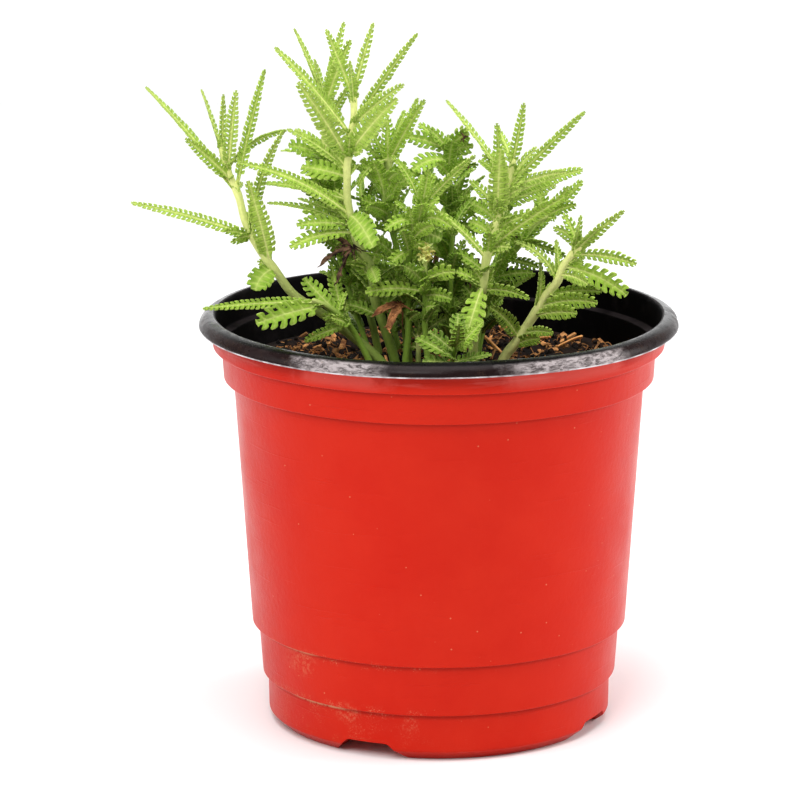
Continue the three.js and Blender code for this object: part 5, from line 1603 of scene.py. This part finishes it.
class MixLook(bpy.types.PropertyGroup):
    """Colours and contents of the potting mix."""

    peat: colour_property("Peat", "Dark damp peat", 12, 7, 5)
    peat_dry: colour_property("Dry peat", "Peat that has dried on top", 44, 25, 15)
    bark: colour_property("Bark", "Bark chips", 104, 58, 32)
    bark_pale: colour_property("Pale bark", "Fresh faces of bark chips", 226, 162, 100)
    coir: colour_property("Coir", "Coir fibres and straw", 168, 108, 60)
    perlite: colour_property("Perlite", "Pale mineral grains", 236, 222, 208)
    crumbs: IntProperty(name="Crumbs", description="Loose crumbs on top", default=2200, min=0, max=4000)
    chips: IntProperty(name="Chips", description="Bark chips on top", default=580, min=0, max=900)
    fibres: IntProperty(name="Fibres", description="Coir fibres on top", default=560, min=0, max=900)


class LeafLook(bpy.types.PropertyGroup):
    """Colours of leaves and stems by age."""

    youngest: colour_property("Youngest", "Unfolding leaves at the tips", 188, 214, 96)
    young: colour_property("Young", "Leaves of the upper stems", 176, 209, 76)
    green: colour_property("Green", "Full-grown leaves", 160, 195, 66)
    dark: colour_property("Dark", "Old leaves low in the plant", 112, 144, 40)
    stem: colour_property("Stem", "Young stems, midribs and down", 241, 244, 156)
    old_stem: colour_property("Old stem", "Lower stems", 126, 158, 54)


class DryLook(bpy.types.PropertyGroup):
    """Colours of the dead stems, dried leaves and the withered bud."""

    spotted: colour_property("Spots", "Tan spots on the bracts", 176, 164, 84)
    wood: colour_property("Wood", "Dead woody stems", 78, 54, 36)
    wood_pale: colour_property("Pale wood", "Bark that has flaked", 128, 96, 62)
    dried: colour_property("Dried leaf", "Dried brown leaves", 196, 134, 84)
    dried_dark: colour_property("Dark dried leaf", "Folds of dried leaves", 84, 46, 28)
    shrivelled_dark: colour_property("Dark shrivelled leaf", "Folds of the old leaves", 44, 28, 20)
    shrivelled: colour_property("Shrivelled leaf", "Dark remains of old leaves", 118, 88, 66)
    withered: colour_property("Withered bud", "Pale bracts of the withered bud", 222, 236, 150)


class StageLook(bpy.types.PropertyGroup):
    """Floor, lights and camera."""

    floor: colour_property("Floor", "Plain pale floor", 250, 250, 250)
    surround: FloatProperty(name="Surround", description="Light from all around", default=0.35, min=0)
    lens: FloatProperty(name="Focal length", description="Camera lens", unit="CAMERA", default=215.75)
    distance: FloatProperty(name="Distance", description="Camera to the object's middle",
                            unit="LENGTH", default=1.4293)
    elevation: FloatProperty(name="Elevation", description="Camera above the level of its aim",
                             subtype="ANGLE", default=math.radians(13.375))
    aim: FloatProperty(name="Aim height", description="Height that the camera aims at",
                       unit="LENGTH", default=0.09665)
    sideways: FloatProperty(name="Shift", description="Sideways shift of the frame", default=-0.0484)


def rim_profile():
    """The rolled rim from under its lip, round its cut edge and up to its top."""
    lip = [
        (SKIRT_RADIUS, SKIRT_TOP), (SKIRT_RADIUS + 0.3, RIM_TOP - 2.25),
        (SKIRT_RADIUS + 1.5, RIM_TOP - 2.4), (SKIRT_RADIUS + 2.6, RIM_TOP - 3.1),
        (70.35, 120.1), (70.5, 119.75), (70.85, 119.6), (71.2, 119.7), (71.38, 119.9),
    ]
    across = RIM_OUTER_RADIUS - SKIRT_RADIUS + ROLL_OVERLAP
    drop = RIM_TOP - ROLL_BOTTOM
    for step in range(RIM_STEPS + 1):
        angle = math.pi / 2 * step / RIM_STEPS
        radius = RIM_OUTER_RADIUS - across * (1 - math.cos(angle))
        lip.append((radius, RIM_TOP - drop * (1 - math.sin(angle))))
    return lip


def profile_slot(low, high):
    """The plastic that a stretch of the outer profile shows."""
    radius = (low[0] + high[0]) / 2
    height = (low[1] + high[1]) / 2
    if radius > CUT_EDGE_RADIUS and height < CUT_EDGE_TOP:
        return EDGE
    if height > RIM_FACE_HEIGHT or (radius > RIM_FACE_RADIUS and height > CUT_EDGE_TOP):
        return RIM
    return RED


class LAVENDER_OT_pot(bpy.types.Operator):
    """Add the thin drawn pot with its rolled rim, stepped wall and notched feet"""

    bl_idname = "lavender.add_pot"
    bl_label = "Add pot"

    def execute(self, context):
        look = context.scene.lavender_pot
        makers = (wall_material, lining_material, cut_edge_material, rim_material)
        materials = [maker(look) for maker in makers]
        outer = [(0.0, 0.0), *wall_profile(0.0)]
        outer = rounded([*outer, (SKIRT_RADIUS, SKIRT_TOP)], CORNER_ROUND)[:-1]
        outer += [*rim_profile(), (0.0, RIM_TOP)]
        slots = [profile_slot(low, high) for low, high in zip(outer, outer[1:])]
        points, faces, face_slots = turned(outer, look.sides, slots)
        body = solid_object("pot_outside", points, faces, face_slots, materials)
        prisms = channel_prisms(0.0, RED)
        body = less(body, solid_object("notches", *prisms, materials))
        inside = SKIRT_RADIUS - POT_WALL
        inner = rounded([(0.0, POT_WALL), *wall_profile(POT_WALL), (inside, RIM_TOP - 1.3)], CORNER_ROUND)
        inner += [(inside + out, RIM_TOP + up) for out, up in MOUTH]
        inner.append((0.0, RIM_TOP + MOUTH[-1][1]))
        points, faces, face_slots = turned(inner, look.sides, [BLACK] * (len(inner) - 1))
        hollow = solid_object("pot_inside", points, faces, face_slots, materials)
        grown = channel_prisms(POT_WALL, BLACK)
        hollow = less(hollow, solid_object("grown_notches", *grown, materials))
        body = less(body, hollow)
        body = less(body, solid_object("drains", *drain_holes(RED), materials))
        mesh = taken(body, "nursery_pot")
        self.wear(mesh, look)
        finished(mesh, "nursery_pot", materials, ["pot"], 32.0)
        return {"FINISHED"}

    def wear(self, mesh, look):
        """A faint sway of the rim and wall, and one nick in the rim."""
        count = len(mesh.vertices)
        places = np.zeros(count * 3, np.float32)
        mesh.vertices.foreach_get("co", places)
        places = places.reshape(-1, 3).astype(float)
        angle = np.arctan2(places[:, 1], places[:, 0])
        height = places[:, 2] / MM
        radius = np.hypot(places[:, 0], places[:, 1])
        up = np.clip((height - SWAY_FROM) / SWAY_RISE, 0, 1)
        sway = RIM_SWAY * up * (np.sin(3 * angle + 0.6) + 0.6 * np.sin(7 * angle) - 1.6)
        sway += WALL_SWAY * np.sin(11 * angle + height * 0.09) * (height > WALL_SWAY_FROM)
        rim = (height > NICK_LOWEST) & (radius / MM > NICK_INNERMOST)
        nick = look.nick * np.exp(-(((angle - NICK_PLACE) / NICK_HALF) ** 2)) * rim
        near_rim = np.clip((height - NEAR_RIM) / NEAR_RIM_RISE, 0, 1)
        wave = RIM_SWAY * np.sin(5 * angle + 2) * near_rim
        scale = (radius + sway - nick) / np.maximum(radius, 1e-6)
        places[:, :2] *= scale[:, None]
        places[:, 2] += wave - RIM_SWAY * near_rim
        mesh.vertices.foreach_set("co", places.astype(np.float32).ravel())
        mesh.update()


def crumb_template():
    """A twenty-sided lump's points and faces."""
    work = bmesh.new()
    bmesh.ops.create_icosphere(work, subdivisions=1, radius=1.0)
    points = np.array([vertex.co[:] for vertex in work.verts])
    faces = [tuple(vertex.index for vertex in face.verts) for face in work.faces]
    work.free()
    return points, faces


def turned_about(points, angles):
    """Points turned about X, then Y, then Z."""
    for axis, angle in enumerate(angles):
        first, second = [k for k in range(3) if k != axis]
        cos, sin = math.cos(angle), math.sin(angle)
        points = points.copy()
        a, b = points[:, first].copy(), points[:, second].copy()
        points[:, first] = a * cos - b * sin
        points[:, second] = a * sin + b * cos
    return points


def values_for(count, age):
    """Point values of a loose bit, which has only its own shade."""
    values = np.zeros((count, len(Surface.VALUES)))
    values[:, Surface.VALUES.index("age")] = age
    return values


class LAVENDER_OT_mix(bpy.types.Operator):
    """Add the potting mix with its crumbs, bark chips, coir fibres, straws and perlite"""

    bl_idname = "lavender.add_mix"
    bl_label = "Add potting mix"

    def execute(self, context):
        look = context.scene.lavender_mix
        peat = earthy_material("potting_mix_fibre", look.peat, look.peat_dry, 420.0, 0.95, 0.0006)
        bark = earthy_material("bark", look.bark, look.bark_pale, 300.0, 0.85, 0.0005)
        coir = earthy_material("coir", look.coir, look.bark_pale, 200.0, 0.8, 0.0002)
        self.body(peat)
        self.crumbs(look.crumbs, [peat, bark])
        self.chips(look.chips, bark)
        self.fibres(look.fibres, coir)
        self.straws(coir)
        self.grains(earthy_material("perlite", look.perlite, look.bark_pale, 500.0, 0.85, 0.0002, 0.1))
        return {"FINISHED"}

    def body(self, material):
        side = [place for place in wall_profile(SOIL_GAP_TO_WALL) if place[1] < SOIL_TOP - 1]
        top = [(SOIL_TOP_RADIUS * (1 - ring / SOIL_RINGS), SOIL_TOP) for ring in range(SOIL_RINGS)]
        profile = [(0.0, SOIL_GAP_TO_WALL), *side, *top, (0.0, SOIL_TOP)]
        points, faces, slots = turned(profile, SOIL_SIDES, [0] * (len(profile) - 1))
        for point in points:
            if point[2] > SOIL_TOP - 0.1:
                point[2] = crumbly_height(point[0], point[1])
        solid = solid_object("mix", points, faces, slots, [material])
        prisms = channel_prisms(SOIL_GAP_TO_WALL, 0)
        solid = less(solid, solid_object("mix_channels", *prisms, [material]))
        mesh = taken(solid, "potting_mix_body")
        attribute = mesh.attributes.new("age", "FLOAT", "POINT")
        attribute.data.foreach_set("value", np.full(len(mesh.vertices), 0.45, np.float32))
        finished(mesh, "potting_mix_body", [material], ["potting_mix"], 60.0)

    def spot(self, draw, widest=BITS_RADIUS):
        radius = widest * math.sqrt(draw())
        angle = draw() * math.pi * 2
        return radius * math.cos(angle), radius * math.sin(angle)

    def crumbs(self, count, materials):
        lump, faces = crumb_template()
        draw = draw_from(71)
        surface = Surface()
        for _ in range(count):
            x, y = self.spot(draw)
            size = 0.25 + 1.05 * draw() ** 2.4
            stretch = np.array([0.8 + 0.5 * draw(), 0.7 + 0.5 * draw(), 0.6 + 0.4 * draw()])
            rough = np.array([0.78 + 0.44 * draw() for _ in range(len(lump))])
            shape = lump * stretch * rough[:, None] * size
            shape = turned_about(shape, [draw() * 3, draw() * 3, draw() * 6])
            shape += np.array([x, y, crumbly_height(x, y) + size * 0.25])
            slot = 1 if draw() < 0.28 else 0
            surface.add(shape, faces, values_for(len(shape), draw() ** 1.5), slot)
        surface.piece("potting_mix_crumbs", materials, "potting_mix", crease=50.0)

    def chips(self, count, material):
        draw = draw_from(97)
        surface = Surface()
        box = np.array([(x, y, z) for x in (-1, 0.1, 1) for y in (-1, 1) for z in (-1, 1)], float)
        faces = [
            (0, 1, 3, 2), (8, 10, 11, 9), (0, 4, 5, 1), (4, 8, 9, 5), (2, 3, 7, 6), (6, 7, 11, 10),
            (0, 2, 6, 4), (4, 6, 10, 8), (1, 5, 7, 3), (5, 9, 11, 7),
        ]
        for _ in range(count):
            x, y = self.spot(draw)
            length = 0.6 + 2.1 * draw() ** 2
            size = np.array([length, length * (0.12 + 0.26 * draw()), length * (0.08 + 0.14 * draw())])
            rough = np.array([[0.75 + 0.5 * draw() for _ in range(3)] for _ in range(len(box))])
            shape = box * size * rough
            shape = turned_about(shape, [(draw() - 0.5) * 1.5, (draw() - 0.5) * 1.5, draw() * 6.3])
            shape += np.array([x, y, crumbly_height(x, y) + 0.45])
            surface.add(shape, faces, values_for(len(shape), draw()))
        surface.piece("bark_chips", [material], "potting_mix", crease=20.0)

    def fibres(self, count, material):
        draw = draw_from(131)
        surface = Surface()
        for _ in range(count):
            x, y = self.spot(draw, FIBRES_RADIUS)
            course = draw() * 6.3
            length = 1.4 + 4.4 * draw() ** 2
            thick = 0.05 + 0.07 * draw()
            steps = 6
            lift = 0.25 + 1.8 * draw() ** 3
            points = []
            for step in range(steps + 1):
                share = step / steps
                arch = math.sin(math.pi * min(1.0, share * 1.1)) * lift
                points.append((x, y, crumbly_height(x, y) + 0.15 + arch))
                course += (draw() - 0.5) * 0.5
                x += math.cos(course) * length / steps
                y += math.sin(course) * length / steps
                reach = math.hypot(x, y)
                if reach > BITS_RADIUS:
                    x, y = x * BITS_RADIUS / reach, y * BITS_RADIUS / reach
            points = np.array(points)
            points = points + np.linspace(0, 0.01, len(points))[:, None]
            radii = np.full(len(points), thick)
            radii[0] = radii[-1] = thick * 0.5
            add_bar(surface, points, radii, 4, values_for(len(points), 0.2 + 0.8 * draw()))
        surface.piece("coir_fibres", [material], "potting_mix", crease=60.0)

    def grains(self, material):
        """A few pale perlite grains that lie loose on top."""
        lump, faces = crumb_template()
        draw = draw_from(173)
        surface = Surface()
        for x, y in GRAIN_PLACES + [self.spot(draw) for _ in range(MORE_GRAINS)]:
            size = 0.4 + 0.4 * draw()
            rough = np.array([0.85 + 0.3 * draw() for _ in range(len(lump))])
            shape = lump * rough[:, None] * size
            shape += np.array([x, y, crumbly_height(x, y) + 0.5])
            surface.add(shape, faces, values_for(len(shape), 0.45 + 0.2 * draw()))
        surface.piece("perlite_grains", [material], "potting_mix", crease=60.0)

    def straws(self, material):
        surface = Surface()
        for start, end, thick, age in STRAWS:
            ends = [np.array([x, y, crumbly_height(x, y) + rise]) for x, y, rise in (start, end)]
            shares = np.linspace(0, 1, 8)
            points = ends[0] + (ends[1] - ends[0]) * shares[:, None]
            points[:, 2] += 0.15 * np.sin(math.pi * shares)
            radii = thick * (1 + 0.1 * np.sin(shares * 9))
            add_bar(surface, points, radii, 7, values_for(len(points), age), 0.12)
        surface.piece("straws", [material], "potting_mix", crease=50.0)


class LAVENDER_OT_shoots(bpy.types.Operator):
    """Add every leafy stem with its lobed leaves and the small leaves in their axils"""

    bl_idname = "lavender.add_shoots"
    bl_label = "Add leafy stems"

    SLOTS = {
        "young_leaf": "left centre centre_back right right_front front_small".split(),
        "green_leaf": "left_low middle centre_right right_back bud".split(),
    }

    def execute(self, context):
        material = foliage_material("downy_foliage", context.scene.lavender_leaf)
        plant = Plant()
        for shoot in plant.shoots:
            name = shoot["name"]
            curve = plant.stems[name]
            draw = draw_from(500 + plant.owner[name])
            surface = Surface()
            leaves = plant.leaves[name]
            tone = TONE_AGES[shoot["tone"]]
            places = sorted({round(place, 2) for _, place, _ in leaves})
            foot_age = STEM_FOOT_AGES.get(name, tone + 0.5)
            add_stem(surface, curve, shoot, places, foot_age, tone - 0.1)
            for leaf, _, age in leaves:
                older = KIND_AGES[leaf.kind] + AGE_SWAY * (draw() - 0.5)
                add_leaf(surface, leaf, age + older, draw)
            short = name.removeprefix("shoot_")
            slot = next((slot for slot, names in self.SLOTS.items() if short in names), "dark_leaf")
            surface.piece(name + "_leafy", [material], slot, [name], 55.0)
        return {"FINISHED"}


class LAVENDER_OT_dry(bpy.types.Operator):
    """Add the dead woody stems, the dried leaves and the withered bud"""

    bl_idname = "lavender.add_dry"
    bl_label = "Add dry stems and leaves"

    def execute(self, context):
        look = context.scene.lavender_dry
        wood = earthy_material("dead_wood", look.wood, look.wood_pale, 500.0, 0.9, 0.0004)
        dried = earthy_material("dried_leaf_skin", look.dried, look.dried_dark, 260.0, 0.85, 0.0004)
        dark = look.shrivelled_dark
        black = earthy_material("shrivelled_skin", look.shrivelled, dark, 340.0, 0.9, 0.0003, 0.08)
        withered = earthy_material("withered_bract", look.withered, look.spotted, 320.0, 0.8, 0.0003, 0.1)
        for spec in DEAD_STEMS:
            self.dead_stem(spec, wood)
        self.dried_leaves(DRIED_LEAVES[0], black, 0.4, 12)
        self.dried_leaves(DRIED_LEAVES[1], dried, 0.45, 7)
        self.shrivelled_bits(black)
        self.bud(withered)
        return {"FINISHED"}

    def dead_stem(self, spec, material):
        curve = Stem(spec["stem"])
        steps = round(curve.length() / 1.2)
        share = np.linspace(0, 1, steps + 1)
        points = curve.at(share)
        draw = draw_from(len(spec["name"]) * 7 + 5)
        radii = spec["radius"] * STEM_SLIMNESS * (1 - (1 - STEM_TIP_SHARE) * share)
        radii *= np.array([0.86 + 0.28 * draw() for _ in share])
        shade = np.array([0.3 + 0.5 * draw() for _ in share])
        surface = Surface()
        add_bar(surface, points, radii, 10, values_for(len(share), shade), 0.05)
        surface.piece(spec["name"] + "_bark", [material], "dry_wood", [spec["name"]], 60.0)

    def dried_leaves(self, spec, material, breadth, stalks):
        """Blades shrivelled to a share of their breadth, with a few crooked prongs."""
        surface = Surface()
        root = np.array(spec["root"], float)
        up = np.array([0.0, 0.0, 1.0])
        draw = draw_from(len(spec["name"]) * 3 + 1)
        for x, y, z, width, bend, turn in spec["leaves"]:
            leaf = Leaf(root, np.array([x, y, z], float), up, width * breadth, bend, turn, "comb")
            self.curled_blade(surface, leaf, draw)
            for share in (0.2, 0.35, 0.45, 0.55, 0.7, 0.85, 0.95):
                start = leaf.at([share])[0]
                _, across, out = leaf.axes([share])
                reach = across[0] * (draw() * 2 - 1) + out[0] * (draw() - 0.5)
                ahead = (leaf.tip - leaf.base) / leaf.size
                self.prong(surface, start, unit(reach + ahead * 0.7) * (1.2 + 1.6 * draw()), draw)
        for _ in range(stalks):
            reach = np.array([draw() * 2 - 1, draw() * 0.8 - 0.4, 0.6 - 1.6 * draw()])
            start = root + np.array([draw() * 3 - 2.4, draw() - 0.5, draw() * 3 - 2])
            self.prong(surface, start, unit(reach) * (2 + 3.5 * draw()), draw)
        surface.piece(spec["name"] + "_curled", [material], "dried_leaf", [spec["name"]], 70.0)

    def prong(self, surface, start, reach, draw):
        """One thin crooked bit that tapers to its end."""
        shares = np.linspace(0, 1, 6)
        points = start + reach * shares[:, None]
        points += np.array([[draw() - 0.5 for _ in range(3)] for _ in shares]) * shares[:, None] * 0.7
        radii = 0.3 - 0.18 * shares
        add_bar(surface, points, radii, 6, values_for(len(points), 0.2 + 0.5 * draw()))

    def shrivelled_bits(self, material):
        """Dark remains of last season's leaves that cling to stems and leaves."""
        surface = Surface()
        draw = draw_from(307)
        for x, y, z, size, count in SHRIVELLED_BITS:
            start = np.array([x, y, z], float)
            for _ in range(count):
                reach = np.array([draw() * 2 - 1, draw() - 0.5, draw() * 2 - 1])
                self.prong(surface, start, unit(reach) * size * (0.5 + 0.5 * draw()), draw)
        surface.piece("shrivelled_bits", [material], "dried_leaf", crease=60.0)

    def curled_blade(self, surface, leaf, draw, least=0.25):
        """A shrivelled blade: narrow, crumpled and rolled in at its edges."""
        rows = 14
        columns = 7
        shares = np.linspace(0, 1, rows)
        middle = leaf.at(shares)
        _, across, out = leaf.axes(shares)
        reach = leaf.half_width(shares) * np.minimum(1, 0.35 + 3 * shares)
        reach[-1] *= 0.25
        points = []
        outs = []
        values = []
        for row in range(rows):
            twist = 0.5 * math.sin(row * 0.7 + draw() * 0.6)
            for column in range(columns):
                side = column / (columns - 1) * 2 - 1
                roll = side * 1.25
                flat = math.sin(roll) * reach[row] * (0.85 + 0.3 * draw())
                high = (1 - math.cos(roll)) * reach[row] * 0.8 + twist * side * 0.5 + 0.3 * (draw() - 0.5)
                points.append(middle[row] + across[row] * flat + out[row] * high)
                outs.append(out[row] * math.cos(roll) - across[row] * math.sin(roll))
                values.append([abs(side), 0, shares[row], least + 0.6 * draw(), 0])
        quads = []
        for row in range(rows - 1):
            for column in range(columns - 1):
                a = row * columns + column
                quads.append((a, a + 1, a + columns + 1, a + columns))
        halves = np.full(len(points), 0.16)
        surface.add(*closed_sheet(np.array(points), np.array(outs), halves, quads, np.array(values)))

    def bud(self, material):
        """Small withered bracts around the top of the stem that carries the bud."""
        carrier = next(shoot for shoot in SHOOTS if shoot["name"] == "shoot_bud")
        curve = Stem(carrier["stem"])
        draw = draw_from(203)
        surface = Surface()
        top = curve.at(1.0)[0]
        along = curve.direction(1.0)[0]
        bracts = 26
        for index in range(bracts):
            base = top + along * (BUD_HEIGHT * index / bracts - 1.0)
            out = heading(index * 2.4)
            length = 2.0 + 1.5 * draw()
            rise = 0.2 + 0.9 * draw()
            tip = base + (out * math.cos(rise) + along * math.sin(rise)) * length
            leaf = Leaf(base, tip, along, 1.8, 0.4, 0.0, "comb", True)
            self.curled_blade(surface, leaf, draw, 0.5)
        spine = top + along * np.linspace(-1.0, BUD_HEIGHT, 6)[:, None]
        add_bar(surface, spine, np.linspace(0.6, 0.3, 6), 7, values_for(6, 0.6))
        surface.piece("withered_bud", [material], "dried_leaf", crease=60.0)


class LAVENDER_OT_stage(bpy.types.Operator):
    """Add the pale floor, the soft studio light and the camera"""

    bl_idname = "lavender.add_stage"
    bl_label = "Add stage"

    def execute(self, context):
        scene = context.scene
        look = scene.lavender_stage
        self.floor(scene, look)
        self.surround(scene, look)
        self.lights(scene)
        camera = bpy.data.cameras.new("camera")
        camera.lens = look.lens
        camera.sensor_width = 36.0
        camera.shift_x = look.sideways
        camera.clip_end = 20.0
        holder = bpy.data.objects.new("camera", camera)
        scene.collection.objects.link(holder)
        back = look.distance * math.cos(look.elevation)
        rise = look.distance * math.sin(look.elevation)
        holder.location = (0.0, -back, look.aim + rise)
        aim = Vector((0.0, 0.0, look.aim)) - holder.location
        holder.rotation_euler = aim.to_track_quat("-Z", "Y").to_euler()
        scene.camera = holder
        scene.view_settings.view_transform = "Standard"
        return {"FINISHED"}

    def floor(self, scene, look):
        """A floor that curves up far behind, so that no horizon shows."""
        rows = [(-4.0, 0.0), (2.6, 0.0), (3.1, 0.08), (3.5, 0.3), (3.8, 0.7), (3.9, 1.2), (3.9, 3.0)]
        points = [(x, y, z) for y, z in rows for x in (-5.0, 5.0)]
        faces = [(k, k + 1, k + 3, k + 2) for k in range(0, len(points) - 2, 2)]
        mesh = bpy.data.meshes.new("floor")
        mesh.from_pydata(points, [], faces)
        mesh.materials.append(floor_material(look))
        mesh.shade_smooth()
        floor = bpy.data.objects.new("floor", mesh)
        scene.collection.objects.link(floor)

    def surround(self, scene, look):
        world = bpy.data.worlds.new("surround")
        world.use_nodes = True
        back = world.node_tree.nodes["Background"]
        back.inputs[0].default_value = (1.0, 1.0, 1.0, 1.0)
        back.inputs[1].default_value = look.surround
        scene.world = world

    def lights(self, scene):
        """Large soft lights: above, from the front, one at each side and one for the backdrop."""
        lamps = [
            ("above", (0.0, -0.2, 1.6), (0.0, 0.0, 0.1), 1.2, 21.0),
            ("front", (-0.4, -1.3, 1.4), (0.0, 0.0, 0.1), 0.8, 14.0),
            ("left_side", (-1.2, -0.4, 0.6), (0.0, 0.0, 0.1), 0.8, 5.0),
            ("right_side", (1.3, 0.1, 0.6), (0.0, 0.0, 0.1), 0.9, 12.0),
            ("backdrop", (0.0, 2.0, 1.6), (0.0, 3.9, 0.5), 2.0, 90.0),
        ]
        for name, place, aim, size, power in lamps:
            light = bpy.data.lights.new(name, "AREA")
            light.shape = "SQUARE"
            light.size = size
            light.energy = power
            lamp = bpy.data.objects.new(name, light)
            scene.collection.objects.link(lamp)
            lamp.location = place
            lamp.rotation_euler = (Vector(aim) - Vector(place)).to_track_quat("-Z", "Y").to_euler()


class LAVENDER_PT_panel(bpy.types.Panel):
    """Lists the steps that build the potted lavender"""

    bl_label = "Potted lavender"
    bl_idname = "LAVENDER_PT_panel"
    bl_space_type = "VIEW_3D"
    bl_region_type = "UI"
    bl_category = "Lavender"

    def draw(self, context):
        scene = context.scene
        for step, settings in STEPS:
            box = self.layout.box()
            box.operator(step.bl_idname)
            group = getattr(scene, settings)
            for key in group.__annotations__:
                box.prop(group, key)


STEPS = [
    (LAVENDER_OT_stage, "lavender_stage"),
    (LAVENDER_OT_pot, "lavender_pot"),
    (LAVENDER_OT_mix, "lavender_mix"),
    (LAVENDER_OT_shoots, "lavender_leaf"),
    (LAVENDER_OT_dry, "lavender_dry"),
]
SETTINGS = {
    "lavender_stage": StageLook,
    "lavender_pot": PotLook,
    "lavender_mix": MixLook,
    "lavender_leaf": LeafLook,
    "lavender_dry": DryLook,
}


def register():
    for group in SETTINGS.values():
        bpy.utils.register_class(group)
    for step, _ in STEPS:
        bpy.utils.register_class(step)
    bpy.utils.register_class(LAVENDER_PT_panel)
    for key, group in SETTINGS.items():
        setattr(bpy.types.Scene, key, PointerProperty(type=group))


def unregister():
    for key in SETTINGS:
        delattr(bpy.types.Scene, key)
    bpy.utils.unregister_class(LAVENDER_PT_panel)
    for step, _ in reversed(STEPS):
        bpy.utils.unregister_class(step)
    for group in reversed(SETTINGS.values()):
        bpy.utils.unregister_class(group)


def main():
    register()
    for step, _ in STEPS:
        family, _, verb = step.bl_idname.partition(".")
        getattr(getattr(bpy.ops, family), verb)()


if __name__ == "__main__":
    main()
